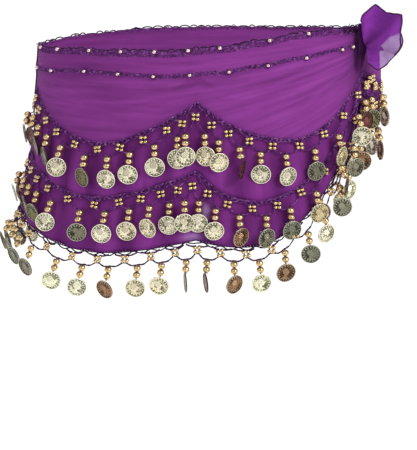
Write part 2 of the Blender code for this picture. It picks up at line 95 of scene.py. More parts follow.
# Where a scallop begins, then for each of the three tiers: the angle of its lowest point, the
# heights of its peak and its lowest point, and the number of its drops.
Scallop = namedtuple("Scallop", "name begins low peak dip drops power")
SCALLOPS = [
    Scallop("front right", 60, (27, 14, 10), (-29, -47, -60), (-87, -145, -188), (9, 9, 9), 2.2),
    Scallop("front left", -4, (-37, -38, -34), (-50, -116, -181), (-92, -145, -197), (10, 10, 9), 1.4),
    Scallop("side left", -80, (-114, -114, -115), (-47, -112, -169), (-80, -133, -184), (7, 6, 7), 1.4),
    Scallop("back left", -150, (-178, -178, -178), (-52, -112, -171), (-93, -146, -198), (7, 7, 6), 1.4),
    Scallop("back right", -205, (-222, -220, -215), (-52, -112, -168), (-80, -124, -170), (6, 7, 6), 1.4),
    Scallop("tied end", -245, (-272, -272, -272), (-38, -60, -82), (-44, -63, -80), (5, 4, 4), 1.4),
]

TopEdge = namedtuple("TopEdge", "angle height second")
TOP_EDGE = [
    TopEdge(60, 15, 16), TopEdge(45, 18, 22), TopEdge(30, 16, 26), TopEdge(16, 10, 26),
    TopEdge(3, 4.4, 26), TopEdge(-15, 0, 26), TopEdge(-42, -1.5, 23), TopEdge(-75, -5, 24),
    TopEdge(-105, -8, 24), TopEdge(-135, -5, 24), TopEdge(-160, -2, 24), TopEdge(-200, -1, 24),
    TopEdge(-228, 2, 24), TopEdge(-250, 7, 22), TopEdge(-275, 12, 19), TopEdge(-300, 15, 16),
]

# Folds and finer creases of the top tier, fanning from the knot and dying out round the front;
# those behind are like them.
Crease = namedtuple("Crease", "from_angle from_height to_angle to_height raised width")
CREASES = [
    Crease(58, 2, 8, -32, 2.4, 8.0), Crease(56, -8, 22, -52, 2.0, 8.0),
    Crease(20, -16, -36, -38, 1.8, 9.0), Crease(-48, -30, -100, -34, 1.5, 9.0),
    Crease(-118, -28, -170, -40, 1.6, 9.0), Crease(-186, -30, -236, -30, 1.6, 9.0),
    Crease(-240, -4, -296, 4, 2.2, 8.0),
    Crease(57, 7, 30, -4, 1.1, 3.2), Crease(58, -3, 16, -40, 0.9, 3.0),
    Crease(57, -12, 30, -58, 0.9, 3.6), Crease(50, -3, 12, -19, -0.8, 3.0),
    Crease(34, -20, 2, -44, -0.9, 3.6), Crease(14, -42, -28, -60, 0.9, 4.0),
    Crease(6, -28, -20, -36, 0.7, 2.6), Crease(-8, -46, -44, -56, 0.8, 3.4),
    Crease(-16, -62, -52, -66, -0.7, 3.6), Crease(-26, -44, -66, -46, 0.7, 3.0),
    Crease(-40, -74, -70, -70, 0.6, 3.2), Crease(-30, -14, -70, -16, 0.6, 3.4),
    Crease(0, -12, -26, -15, -0.6, 2.8), Crease(-60, -56, -88, -50, 0.7, 3.2),
    Crease(-96, -50, -132, -60, 0.8, 3.4), Crease(-104, -14, -150, -12, 0.6, 3.2),
    Crease(-120, -72, -146, -62, -0.7, 3.4), Crease(-150, -46, -186, -58, 0.8, 3.6),
    Crease(-160, -18, -204, -20, 0.6, 3.0), Crease(-176, -70, -200, -58, 0.6, 3.4),
    Crease(-206, -42, -240, -38, 0.8, 3.2), Crease(-214, -14, -262, -6, 0.8, 3.0),
    Crease(-232, -24, -286, -14, 0.9, 3.2), Crease(-268, -24, -298, -10, -0.9, 3.0),
]

COIN_TURNS = {
    1: (5, 41, -25, -2, -17, 12, -71, -13, 15, -10, 7, -8, -11, 0, 19, -43, 24, 12, -12,
        6, -10, 8, 14, -12, 5, -16, 10),
    2: (10, 6, -62, -3, -10, -28, -37, -8, -6, -9, 3, 26, -9, -17, -30, -39, -4, 18, 8,
        -6, 9, -14, 5, 12, -8, 4, 15),
    3: (35, -10, 24, -12, 20, -8, -5, -37, 80, 80, 2, -7, 20, -29, -32, -3, -9, -7,
        5, -9, 12, -4, 10, -14, 7, -5),
}

# How far the drops of the two front scallops stand from even places, toward the knot.
DROP_SHIFTS = {
    1: (7, 7, 0, -4, -11, -12, -10, -8, -2, -1, 10, 8, 5, 4, 2, -5, -6, -4, -2),
    2: (7, 0, -1, -10, -14, -14, -14, -11, -6, 0, 6, 8, 10, 8, 4, -8, -10, -6, -2),
    3: (-3, -6, -2, -5, -5, -7, -7, -4, -2, 4, 6, 8, 6, 5, 2, -8, -8, -3),
}
# Finish of each coin in the same order: pale, gold, dark, bronze, olive or red-brown.
COIN_FINISHES = {
    1: "rpgdpprpp" "pppppoporr" "ppgpdppb",
    2: "bddgddbpp" "pppppdpoor" "pgpdppgb",
    3: "bpdpdbpbr" "oppbppddoo" "odpgppbp",
}

# Where the bottom tier hangs in a single layer and is painted paler, with light shining through it; those
# behind are like them.
SingleFold = namedtuple("SingleFold", "angle height wide tall strength")
SINGLE_FOLDS = [
    SingleFold(-1.2, -156, 0.9, 8, 0.85), SingleFold(-5, -178, 2.6, 4, 0.45),
    SingleFold(-118, -164, 1.0, 9, 0.7), SingleFold(-176, -170, 2.2, 5, 0.5),
    SingleFold(-226, -152, 1.1, 8, 0.7),
]

# Gathered ends: the same fans as their solids.
Fan = namedtuple("Fan", "name first last swing apart stands pleat turns curl single bearing reaches")
FANS = [
    Fan("tie_end_upper", 98, -10, 12, 1.7, 11.1, 4.2, 3.5, 7.0, 19.4, 9,
        (25, 31, 36, 44, 42, 41, 45, 52, 49, 45, 43, 42, 38, 34)),
    Fan("tie_end_lower", 20, -84, -16, -1.7, 12.6, 3.4, 2.5, -6.0, 13.3, 17,
        (36, 36, 34, 31, 29, 28, 28, 27, 26, 21, 16)),
]
FAN_ROOT, FAN_HEIGHT, FAN_PLANE = 1.8, -2.0, 16.0


# --- shape --------------------------------------------------------------------------------------
def share(value):
    """The value, held between 0 and 1."""
    return max(0.0, min(1.0, value))


def rough(*place):
    """Smooth noise at a place, from -1 to 1."""
    return noise.noise(Vector(place))


def ease(part):
    """A share from 0 to 1 with a slow start and end."""
    return part * part * (3 - 2 * part)


def circle(count):
    """The turns of count points evenly round a circle."""
    return [2 * math.pi * step / count for step in range(count)]


def table_row(table, value):
    """A row of a table eased between its two nearest rows, by their first field."""
    for first, last in zip(table, table[1:]):
        if min(first[0], last[0]) <= value <= max(first[0], last[0]) + 1e-4:
            part = ease((value - first[0]) / (last[0] - first[0]))
            return type(first)(value, *(a + (b - a) * part for a, b in zip(first[1:], last[1:])))
    return min(table, key=lambda row: abs(row[0] - value))


def outward(angle):
    turn = math.radians(angle)
    return Vector((math.sin(turn) / HALF_WIDTH, -math.cos(turn) / HALF_DEPTH, 0)).normalized()


def shell_point(angle, height, out=0.0):
    """A point of the form at this angle and height, moved out along the level normal."""
    turn = math.radians(angle)
    aside = ((angle - DRAWN_ANGLE + 180.0) % 360.0 - 180.0) / DRAWN_SPREAD
    grown = (max(-height, 0.0) / FLARE_DROP) ** FLARE_POWER * (1.0 - DRAWN_IN * math.exp(-aside ** 2))
    wide, deep = HALF_WIDTH + FLARE_WIDTH * grown, HALF_DEPTH + FLARE_DEPTH * grown
    normal = outward(angle)
    return Vector((wide * math.sin(turn) + out * normal.x, -deep * math.cos(turn) + out * normal.y,
                   height))


def arc_table(steps=720):
    lengths = [0.0]
    for index in range(steps):
        first = shell_point(KNOT_ANGLE - 360.0 * index / steps, 0)
        last = shell_point(KNOT_ANGLE - 360.0 * (index + 1) / steps, 0)
        lengths.append(lengths[-1] + (last - first).length)
    return lengths


ARC = arc_table()
ROUND = ARC[-1]


def length_at(angle):
    place = (KNOT_ANGLE - angle) * (len(ARC) - 1) / 360.0
    whole = max(0, min(int(place), len(ARC) - 2))
    return ARC[whole] + (place - whole) * (ARC[whole + 1] - ARC[whole])


def angle_at(length):
    low, high = KNOT_ANGLE - 360.0, KNOT_ANGLE
    for _ in range(26):
        middle = (low + high) / 2
        low, high = (middle, high) if length_at(middle) > length else (low, middle)
    return (low + high) / 2


def scallop_at(angle):
    index = max(i for i, scallop in enumerate(SCALLOPS) if angle <= scallop.begins + 1e-4)
    following = SCALLOPS[(index + 1) % len(SCALLOPS)]
    ends = following.begins if index + 1 < len(SCALLOPS) else KNOT_ANGLE - 360.0
    return SCALLOPS[index], following, ends


def edge_height(row, angle):
    """Height of the lower edge of a tier."""
    scallop, following, ends = scallop_at(angle)
    lowest, dip = scallop.low[row - 1], scallop.dip[row - 1]
    power = DIP_POWER if angle > lowest else scallop.power
    if angle > lowest:
        peak, away = scallop.peak[row - 1], (angle - lowest) / (scallop.begins - lowest)
    else:
        peak, away = following.peak[row - 1], (lowest - angle) / (lowest - ends)

    def rise(part):
        return (part ** 2 + DIP_ROUND ** 2) ** (power / 2) - DIP_ROUND ** power

    return peak + (dip - peak) * (1.0 - rise(share(away)) / rise(1.0))


def top_edge(angle):
    return table_row(TOP_EDGE, angle)


def second_height(angle):
    edge = top_edge(angle)
    return edge.height - edge.second


def crease_height(angle, height, strength=1.0):
    along, total = length_at(angle), 0.0
    for crease in CREASES:
        start = Vector((length_at(crease.from_angle), crease.from_height))
        run = Vector((length_at(crease.to_angle), crease.to_height)) - start
        here = Vector((along, height)) - start
        part = here.dot(run) / run.length_squared
        if not -0.02 < part < 1.02:
            continue
        wander = 1.6 * rough(along * 0.03, crease.from_height, 0.0)
        aside = (here - run * part).length * (1 if run.x * here.y > run.y * here.x else -1) + wander
        if abs(aside) > 3 * crease.width:
            continue
        fade = share(min(4 * part, 3 * (1 - part)))
        swell = 0.75 + 0.5 * rough(along * 0.022, crease.to_height, 3.0)
        big = crease.width > 6
        total += (crease.raised * fade * (1.0 if big else swell * strength)
                  * math.exp(-(aside / crease.width) ** 2))
    above = (height - edge_height(1, angle) - TUCK - 4) / 10.0
    return total * share(above)


def inside_of(row):
    return LAYER * (3 - row)


def top_face(angle, height, strength=1.0):
    """Offset of the outer face of the top tier."""
    return inside_of(1) + CLOTH + crease_height(angle, height, strength)


Place = namedtuple("Place", "point along out down")


def net_place(row, length, down, out):
    angle = angle_at(length % ROUND)
    edge = edge_height(row, angle)
    point = shell_point(angle, edge - down, inside_of(row) + out)
    below = shell_point(angle, edge - down - DROP_LENGTH, inside_of(row) + out)
    along = shell_point(angle + 0.5, 0) - shell_point(angle - 0.5, 0)
    along.z = 0
    along.normalize()
    axis = (below - point).normalized()
    return Place(point, along, along.cross(axis).normalized() * -1, axis)


def sag(row, length):
    """How much lower the net hangs under the peaks, where it spans the scallops."""
    angle = angle_at(length % ROUND)
    scallop, _, ends = scallop_at(angle)
    lowest = scallop.low[row - 1]
    reach = scallop.begins - lowest if angle > lowest else lowest - ends
    return NET_SAG[row] * min(abs(angle - lowest) / reach, 1.0) ** SAG_POWER


def hook_height(row, length):
    return edge_height(row, angle_at(length)) - sag(row, length)


def edge_lengths(row):
    """Hip-line lengths of the drops of a row, even along each scallop's own edge."""
    places = []
    for index, scallop in enumerate(SCALLOPS):
        last = index + 1 == len(SCALLOPS)
        start = length_at(scallop.begins)
        stop = ROUND if last else length_at(SCALLOPS[index + 1].begins)
        steps = [start + (stop - start) * step / 60 for step in range(61)]
        points = [shell_point(angle_at(step), edge_height(row, angle_at(step))) for step in steps]
        runs = [0.0]
        for first, following in zip(points, points[1:]):
            runs.append(runs[-1] + (following - first).length)
        count = scallop.drops[row - 1]
        for number in range(count):
            target = runs[-1] * (number + 0.5) / count
            step = max(i for i in range(60) if runs[i] <= target)
            part = (target - runs[step]) / (runs[step + 1] - runs[step])
            shifts = DROP_SHIFTS[row]
            shift = shifts[len(places)] if len(places) < len(shifts) else 2.0 * math.sin(2.4 * number)
            places.append((steps[step] + part * (steps[1] - steps[0]) - shift, index, number))
    return places


def hook_point(row, length):
    angle = angle_at(length)
    return shell_point(angle, hook_height(row, length) - NET_DROP - NET_THREAD, inside_of(row))


def in_coin(aside, above):
    """Whether a drop's thread, beads or coin would hang in the coin of one higher up beside it."""
    coin, bead, clear = 0.49 * COIN, 2.6, 0.3
    parts = [(0.0, 0.8), (COIN_CENTRE, coin)] + [(down, bead) for down in BEAD_CENTRES]
    return any(math.hypot(aside, above + down - COIN_CENTRE) < coin + half + clear
               for down, half in parts)


Drop = namedtuple("Drop", "row length turn lift finish")
DropFrames = namedtuple("DropFrames", "hook beads coin across through down along out rng")


def plan_drops():
    drops = []
    for row in (1, 2, 3):
        for count, (length, scallop, number) in enumerate(edge_lengths(row)):
            turn = COIN_TURNS[row][count % len(COIN_TURNS[row])]
            finish = COIN_FINISHES[row][count % len(COIN_FINISHES[row])]
            lift = OVERLAP_LIFT if number == 0 and scallop > 0 else 0.0
            if count in CROWDED.get(row, ()):
                lift = CROWD_LIFT
            away = [hook_point(other.row, other.length) - hook_point(row, length)
                    for other in drops if other.row < row and other.lift < CROWD_LIFT]
            if not any(in_coin(math.hypot(off.x, off.y), off.z) for off in away):
                drops.append(Drop(row, length, turn, lift, finish))
    return drops


def post_lengths(row):
    spots = [length for length, _, _ in edge_lengths(row)]
    middles = [(first + last) / 2 for first, last in zip(spots, spots[1:])]
    return middles + [(spots[-1] + ROUND + spots[0]) / 2 % ROUND]


def drop_out(drop, down):
    """How far a drop stands out at this distance below its hook."""
    rest, rim = -LAYER + CLOTH + CLEAR, 0.46 * COIN
    bead = rest + BEAD / 2
    coin = max(bead, rest + rim * abs(math.sin(math.radians(drop.turn))) + COIN_THICK / 2)
    part = min(1.0, down / (COIN_CENTRE - rim))
    return bead + (coin - bead) * part + drop.lift * min(1.0, down / BEAD_CENTRES[0])


def drop_frames(drop):
    """Hook, bead centres, coin centre and turned axes of a drop, swung a little in its plane."""
    place = net_place(drop.row, drop.length, NET_DROP + NET_THREAD + sag(drop.row, drop.length), 0.0)
    rng = random.Random(1000 * drop.row + int(drop.length))
    sway = math.radians(rng.uniform(-5, 5) if not drop.lift else 1.0)
    down = place.down * math.cos(sway) + place.along * math.sin(sway)
    along = place.along * math.cos(sway) - place.down * math.sin(sway)
    turned = Matrix.Rotation(math.radians(drop.turn), 3, down)

    def at(level):
        return place.point + down * level + place.out * drop_out(drop, level)

    hook = place.point - down * 0.4 + place.out * (LACE / 2)
    return DropFrames(hook, [at(level) for level in BEAD_CENTRES], at(COIN_CENTRE), turned @ along,
                      turned @ place.out, down, along, place.out, rng)


# --- mesh helpers -------------------------------------------------------------------------------
def link(item):
    bpy.context.scene.collection.objects.link(item)
    return item


def make_object(name, verts, faces, uvs=None, colours=None, smooth=True):
    """A mesh object from points in millimetres; uvs in metres and colours go with the points."""
    data = bpy.data.meshes.new(name)
    data.from_pydata([tuple(v * MM) for v in verts], [], faces)
    if uvs:
        layer = data.uv_layers.new(name="cloth")
        for loop in data.loops:
            layer.data[loop.index].uv = uvs[loop.vertex_index]
    if colours:
        layer = data.attributes.new("tint", "FLOAT_COLOR", "POINT")
        for index, colour in enumerate(colours):
            layer.data[index].color = colour
    data.polygons.foreach_set("use_smooth", [smooth] * len(data.polygons))
    data.update()
    old = bpy.data.objects.get(name)
    if old is not None and old.name not in frame["nodes"]:
        bpy.data.objects.remove(old)
    return link(bpy.data.objects.new(name, data))


def bake(item):
    """Turn an object and its modifiers into a plain mesh."""
    bpy.context.view_layer.update()
    graph = bpy.context.evaluated_depsgraph_get()
    plain = bpy.data.meshes.new_from_object(item.evaluated_get(graph), depsgraph=graph)
    item.modifiers.clear()
    old, item.data = item.data, plain
    bpy.data.meshes.remove(old)
    return item


def end_caps(sides, rows):
    """The two faces that close a tube of sides columns of points."""
    return [tuple(side * rows for side in range(sides)),
            tuple(side * rows + rows - 1 for side in reversed(range(sides)))]


def outward_faces(item, merge=False):
    mesh = bmesh.new()
    mesh.from_mesh(item.data)
    if merge:
        bmesh.ops.remove_doubles(mesh, verts=mesh.verts, dist=1e-6)
    bmesh.ops.recalc_face_normals(mesh, faces=mesh.faces)
    mesh.to_mesh(item.data)
    mesh.free()
    return item


def ring_faces(columns, rows, closed=True):
    faces = []
    for column in range(columns if closed else columns - 1):
        other = (column + 1) % columns
        for row in range(rows - 1):
            faces.append((column * rows + row, column * rows + row + 1,
                          other * rows + row + 1, other * rows + row))
    return faces


class Strands:
    """Tubes of thread gathered into one mesh."""

    def __init__(self):
        self.verts, self.faces, self.uvs = [], [], []

    def tube(self, points, radius, sides=5, closed=False, up=UP):
        count = len(points)
        start = len(self.verts)
        run = 0.0
        for index, point in enumerate(points):
            before = points[index - 1] if index or closed else point
            after = points[(index + 1) % count] if index + 1 < count or closed else point
            ahead = (after - before).normalized()
            side = ahead.cross(up)
            if side.length < 1e-6:
                side = ahead.cross(Vector((1, 0, 0)))
            side.normalize()
            top = side.cross(ahead)
            if index:
                run += (point - points[index - 1]).length
            size = radius[index] if isinstance(radius, (list, tuple)) else radius
            for step, turn in enumerate(circle(sides)):
                self.verts.append(point + side * size * math.cos(turn) + top * size * math.sin(turn))
                self.uvs.append((run * MM, step / sides * 0.004))
        for index in range(count if closed else count - 1):
            here, there = start + index * sides, start + ((index + 1) % count) * sides
            for step in range(sides):
                other = (step + 1) % sides
                self.faces.append((here + step, here + other, there + other, there + step))
        if not closed:
            self.faces.append(tuple(start + step for step in range(sides)))
            self.faces.append(tuple(start + (count - 1) * sides + sides - 1 - step
                                    for step in range(sides)))

    def build(self, name):
        return outward_faces(make_object(name, self.verts, self.faces, self.uvs))


# --- nodes --------------------------------------------------------------------------------------
def put(tree, socket, value):
    """Link a socket to another one, or set its value."""
    if isinstance(value, Wire):
        value = value.socket
    if isinstance(value, bpy.types.NodeSocket):
        tree.links.new(value, socket)
    else:
        socket.default_value = value


def add_node(tree, kind, inputs, **settings):
    """A new node with its settings made and its inputs linked or set."""
    node = tree.nodes.new(kind)
    for key, value in settings.items():
        setattr(node, key, value)
    for key, value in inputs.items():
        put(tree, node.inputs[key], value)
    return node


class Wire:
    """A number socket with arithmetic."""

    def __init__(self, graph, socket):
        self.graph, self.socket = graph, socket

    def math(self, kind, other=None, clamp=False):
        inputs = {0: self} if other is None else {0: self, 1: other}
        return Wire(self.graph, self.graph.node("ShaderNodeMath", inputs, operation=kind,
                                                use_clamp=clamp).outputs[0])

    def __add__(self, other):
        return self.math("ADD", other)

    def __sub__(self, other):
        return self.math("SUBTRACT", other)

    def __rsub__(self, other):
        return (self * -1.0).math("ADD", other)

    def __mul__(self, other):
        return self.math("MULTIPLY", other)

    def __truediv__(self, other):
        return self.math("DIVIDE", other)

    __radd__ = __add__
    __rmul__ = __mul__

    def step(self, low, high):
        """0 below low, 1 above high, smooth between."""
        node = self.graph.node("ShaderNodeMapRange", {"Value": self, "From Min": low, "From Max": high},
                               interpolation_type="SMOOTHSTEP")
        return Wire(self.graph, node.outputs["Result"])


class Graph:
    """Nodes of one material, from its coordinates to its Principled shader."""

    def __init__(self, name):
        self.material = bpy.data.materials.new(name)
        self.material.use_nodes = True
        self.tree = self.material.node_tree
        self.shader = self.tree.nodes["Principled BSDF"]

    def node(self, kind, inputs=None, **settings):
        return add_node(self.tree, kind, inputs or {}, **settings)

    def set(self, **inputs):
        """Link or set inputs of the shader; an underscore stands for a space."""
        for key, value in inputs.items():
            put(self.tree, self.shader.inputs[key.replace("_", " ")], value)

    def place(self):
        return self.node("ShaderNodeTexCoord").outputs["Object"]

    def uv(self, layer="cloth"):
        return self.node("ShaderNodeUVMap", uv_map=layer).outputs["UV"]

    def tint(self):
        return self.node("ShaderNodeAttribute", attribute_name="tint").outputs["Color"]

    def scaled(self, vector, factors):
        return self.node("ShaderNodeVectorMath", {0: vector, 1: factors}, operation="MULTIPLY").outputs[0]

    def split(self, vector):
        return [Wire(self, output) for output in self.node("ShaderNodeSeparateXYZ", {0: vector}).outputs]

    def noise(self, vector, scale, detail=3.0, roughness=0.55):
        node = self.node("ShaderNodeTexNoise", {"Vector": vector, "Scale": scale, "Detail": detail,
                                                "Roughness": roughness})
        return Wire(self, node.outputs["Fac"])

    def mix(self, factor, first, second, blend="MIX"):
        first, second = (value if isinstance(value, (Wire, bpy.types.NodeSocket))
                         else (*value[:3], 1.0) for value in (first, second))
        return self.node("ShaderNodeMix", {"Factor": factor, 6: first, 7: second}, data_type="RGBA",
                         blend_type=blend).outputs[2]

    def bump(self, height, strength, distance):
        node = self.node("ShaderNodeBump", {"Height": height, "Strength": strength,
                                            "Distance": distance})
        self.set(Normal=node.outputs[0])


LIT_SHARE = (1.34, 1.60, 1.34)            # of the cloth's colour, where it catches the light


def times(colour, factor):
    return tuple(min(1.0, part * factor) for part in colour)


def chiffon(name, colour, shadow, strength=1.0, single=None, sheer=False):
    """Chiffon: a fine weave, painted shade and light in fine streaks along its folds, painted shade where
    tiers, trims and creases shade it, and painted light where its tint says it is lit.

    Where a single layer hangs against the light it takes the colour single.
    """
    graph = Graph(name)
    uv = graph.uv()
    across, along, _ = graph.split(uv)
    weave = (across * 2 * math.pi / 0.0009).math("SINE") * (along * 2 * math.pi / 0.0009).math("SINE")
    slub = graph.noise(graph.scaled(uv, (60.0, 900.0, 1.0)), 1.0, 4.0)
    streak = graph.noise(graph.scaled(uv, (9.0, 130.0, 1.0)), 1.0, 4.0, 0.6)
    cloud = graph.noise(graph.place(), 16.0, 3.0)
    dark, thin, light = graph.split(graph.tint())
    # Painted light and shade: the streaks along the folds and the tint's light share; the cloud and slub
    # are uneven dye.
    tone = ((cloud - 0.5) * 0.5 + (streak - 0.5) * 1.1 * strength + (slub - 0.5) * 0.3
            + (light - 0.5) * 1.2 + 0.5)
    base = graph.mix(tone.math("MAXIMUM", 0.0, clamp=True), times(colour, 0.66),
                     tuple(min(1.0, part * more) for part, more in zip(colour, LIT_SHARE)))
    # Painted shade: the tint's dark share turns the colour towards the shaded one.
    colours = graph.mix(dark, base, shadow)
    if single is not None:
        pale = graph.mix(tone.math("MAXIMUM", 0.0, clamp=True), times(single, 0.8), times(single, 1.2))
        colours = graph.mix(thin, colours, pale)
    graph.set(Base_Color=colours, Roughness=(slub - 0.5) * 0.2 + 0.62, Specular_IOR_Level=0.06,
              Sheen_Weight=0.01, Sheen_Roughness=0.45, Sheen_Tint=(0.85, 0.6, 0.95, 1.0))
    if sheer:
        graph.set(Alpha=(1.0 - thin * 0.12) + weave * 0.04)
    graph.bump(weave * 0.5 + slub * 1.2 + streak * 4.0, 0.5, 0.0006)
    return graph.material


def thread(name, colour, fleck):
    """Crochet thread: dark, fuzzy, with paler flecks where the fibres catch the light."""
    graph = Graph(name)
    place = graph.place()
    fine = graph.noise(place, 1400.0, 2.0)
    coarse = graph.noise(place, 330.0, 3.0)
    flecks = (fine * 0.6 + coarse * 0.6).step(0.59, 0.76)
    shade = graph.noise(place, 520.0, 2.0).step(0.36, 0.62)
    base = graph.mix(shade, times(colour, 0.35), times(colour, 1.25))
    graph.set(Base_Color=graph.mix(flecks, base, fleck), Roughness=coarse * 0.2 + 0.7,
              Specular_IOR_Level=0.2)
    graph.bump(fine, 0.6, 0.0004)
    return graph.material


def gold_bead(name, colour, deep):
    """Gold-plated plastic: bright and smooth, darker and redder in its worn plating, and painted darker
    towards both ends of its hole, as shade where beads touch.
    """
    graph = Graph(name)
    place = graph.place()
    wear = graph.noise(place, 420.0, 3.0).step(0.45, 0.75)
    # Painted shade towards both ends of the hole, where the beads touch.
    ends = graph.split(graph.uv("face"))[1].math("ABSOLUTE").step(0.24, 0.42)
    worn = graph.mix(wear * 0.5, colour, deep)
    graph.set(Base_Color=graph.mix(ends * 0.85, worn, times(deep, 0.45)),
              Roughness=graph.noise(place, 900.0, 2.0) * 0.14 + 0.10,
              Metallic=0.9, Coat_Weight=0.4, Coat_Roughness=0.08)
    return graph.material


def stamped_coin(name):
    """Stamped light metal: a raised rim, a ring of dots, and a plain generic profile in relief; tarnished
    in patches, darker in its hollows and engraved lines with tarnish and painted shade, with painted
    highlights on its dots, rim and highest relief.
    """
    graph = Graph(name)
    flat, place = graph.uv("face"), graph.place()
    across, up, _ = graph.split(flat)
    reach = (across * across + up * up).math("SQRT")
    turn = up.math("ARCTAN2", across)
    ring = 1.0 - (reach - 0.76).math("ABSOLUTE").step(0.05, 0.10)
    dots = (turn * 17.0).math("SINE").step(-0.1, 0.5) * ring
    rim = reach.step(0.87, 0.92)

    def oval(x, y, wide, tall, soft=0.12):
        first, second = (across - x) / wide, (up - y) / tall
        return 1.0 - (first * first + second * second).math("SQRT").step(1.0 - soft, 1.0 + soft)

    hair = oval(0.12, 0.20, 0.32, 0.34)
    face = oval(-0.04, 0.12, 0.26, 0.30)
    nose = oval(-0.29, 0.08, 0.07, 0.09)
    chin = oval(-0.15, -0.14, 0.12, 0.10)
    neck = oval(0.06, -0.28, 0.15, 0.26)
    bust = oval(0.04, -0.56, 0.40, 0.15)
    head = face
    for piece, weight in ((hair, 0.95), (nose, 0.9), (chin, 0.9), (neck, 0.75), (bust, 0.85)):
        head = head.math("MAXIMUM", piece * weight)
    waves = ((across * 26.0 + up * 30.0).math("SINE") * 0.5 + 0.5) * hair * 0.5
    folds = ((across * 34.0).math("SINE") * 0.5 + 0.5) * bust * 0.4
    leaves = ((turn * 16.0).math("SINE") * (reach * 40.0).math("SINE")).step(0.1, 0.5)
    leaves = leaves * (1.0 - head) * (1.0 - (reach - 0.60).math("ABSOLUTE").step(0.10, 0.14))
    height = head * 0.8 + waves + folds + dots * 0.6 + rim * 0.9 + leaves * 0.55
    patch = graph.noise(place, 230.0, 4.0, 0.6)
    fine = graph.noise(place, 1100.0, 3.0, 0.6)
    broad = graph.noise(place, 95.0, 2.0)
    tint = graph.tint()
    # Darker in the hollows, along the head's outline and in the groove between the dots: tarnish with
    # painted shade; darker in patches: tarnish.
    engraved = 1.0 - (head - 0.35).math("ABSOLUTE").step(0.12, 0.36)
    dark = ((0.60 - height) * 1.1 + (patch - 0.5) * 3.8 + (broad - 0.5) * 3.2 + (fine - 0.5) * 1.4
            + engraved * 0.55 + ring * (1.0 - dots) * 0.55 - 0.42)
    dark = dark.step(0.0, 0.40) * (1.0 - rim * 0.7) * (1.0 - dots * 0.95)
    deep = graph.mix(1.0, tint, (0.085, 0.09, 0.055), "MULTIPLY")
    # Lighter on the raised relief, a painted highlight, and in patches.
    pale = graph.mix(((patch * 0.6 + height * 0.4) - 0.45).math("MAXIMUM", 0.0, clamp=True) * 0.9,
                     tint, graph.mix(1.0, tint, (1.35, 1.22, 1.25), "MULTIPLY"))
    # Painted highlights on the dots, the rim and the highest relief, stronger on the paler finishes.
    painted_highlight_share = (graph.split(tint)[1] * 2.4).math("MINIMUM", 0.65)
    bright = graph.mix(painted_highlight_share, pale, (0.95, 0.92, 0.74))
    relief = (height - 0.7).math("MAXIMUM", 0.0) * 0.8
    pale = graph.mix((dots * 0.75 + rim * 0.5 + relief).math("MINIMUM", 1.0), pale, bright)
    graph.set(Base_Color=graph.mix(dark * 0.92, pale, deep), Roughness=fine * 0.3 + 0.10,
              Metallic=0.7)
    graph.bump(height + fine * 0.2, 1.0, 0.0012)
    return graph.material


# --- sizes and colours a user would change ------------------------------------------------------
def colour_field(name, description, default):
    return bpy.props.FloatVectorProperty(name=name, description=description, subtype="COLOR", size=3,
                                         default=default, min=0, max=1)


def length_field(name, description, default, low, high):
    return bpy.props.FloatProperty(name=name, description=description, unit="LENGTH",
                                   default=default, min=low, max=high)


def amount_field(name, description, default, low, high):
    return bpy.props.FloatProperty(name=name, description=description, default=default, min=low, max=high)


class HipScarfCloth(bpy.types.PropertyGroup):
    front: colour_field("Front", "Colour of the chiffon in front", (0.248, 0.037, 0.272))
    lower: colour_field("Lower tiers", "Colour of the two lower tiers", (0.200, 0.026, 0.226))
    shadow: colour_field("Shaded", "Colour where tiers and trims shade the cloth", (0.045, 0.005, 0.060))
    single: colour_field("Single layer", "Colour of a single layer against the light", (0.52, 0.32, 0.66))
    ends: colour_field("Tied ends", "Colour of the tied ends", (0.280, 0.038, 0.405))
    thickness: length_field("Thickness", "Thickness of a cloth shell", 0.0006, 0.0002, 0.001)
    creases: amount_field("Creases", "Strength of the finer creases", 1.0, 0, 1.5)


class HipScarfCrochet(bpy.types.PropertyGroup):
    colour: colour_field("Thread", "Colour of the crochet", (0.115, 0.016, 0.160))
    # The flecks are painted highlights where the fibres catch the light.
    fleck: colour_field("Fleck", "Colour of the paler fibres", (0.42, 0.15, 0.50))
    # A darker copy of the crochet thread, painted shade for threads seen dark: the hem's net and edge, the
    # top loops, the side seam, the loose ends, and the tied ends' edging.
    outline: colour_field("Hem thread", "Colour of the hem's net, the top loops and the loose ends",
                          (0.030, 0.006, 0.040))
    radius: length_field("Strand radius", "Radius of a strand of the crochet edges",
                         0.00046, 0.0003, 0.0009)
    net_radius: length_field("Net radius", "Radius of the net's thread", 0.00056, 0.0002, 0.0008)
    stitch: length_field("Stitch", "Length of one stitch of the edges", 0.0052, 0.003, 0.01)


class HipScarfCoins(bpy.types.PropertyGroup):
    pale: colour_field("Pale", "Colour of most coins", (0.96, 0.89, 0.64))
    gold: colour_field("Gold", "Colour of the yellower coins", (0.66, 0.54, 0.28))
    bronze: colour_field("Bronze", "Colour of the brown coins", (0.34, 0.17, 0.07))
    olive: colour_field("Olive", "Colour of the dark green-gold coins", (0.16, 0.15, 0.06))
    dark: colour_field("Dark", "Colour of the tarnished coins", (0.21, 0.205, 0.135))
    red: colour_field("Red-brown", "Colour of the darkest coins", (0.14, 0.030, 0.020))
    bead: colour_field("Bead", "Colour of the beads", (0.79, 0.58, 0.29))
    bead_deep: colour_field("Bead wear", "Colour of the beads' worn plating", (0.30, 0.15, 0.05))
    # The colour of gold with the purple cloth around it painted in as a pink reflection.
    line_bead: colour_field("Line bead", "Colour of the single beads of the crochet lines",
                            (0.95, 0.66, 0.68))
    small_bead: length_field("Small bead", "Diameter of the beads in the crochet and the nets",
                             0.0044, 0.002, 0.005)


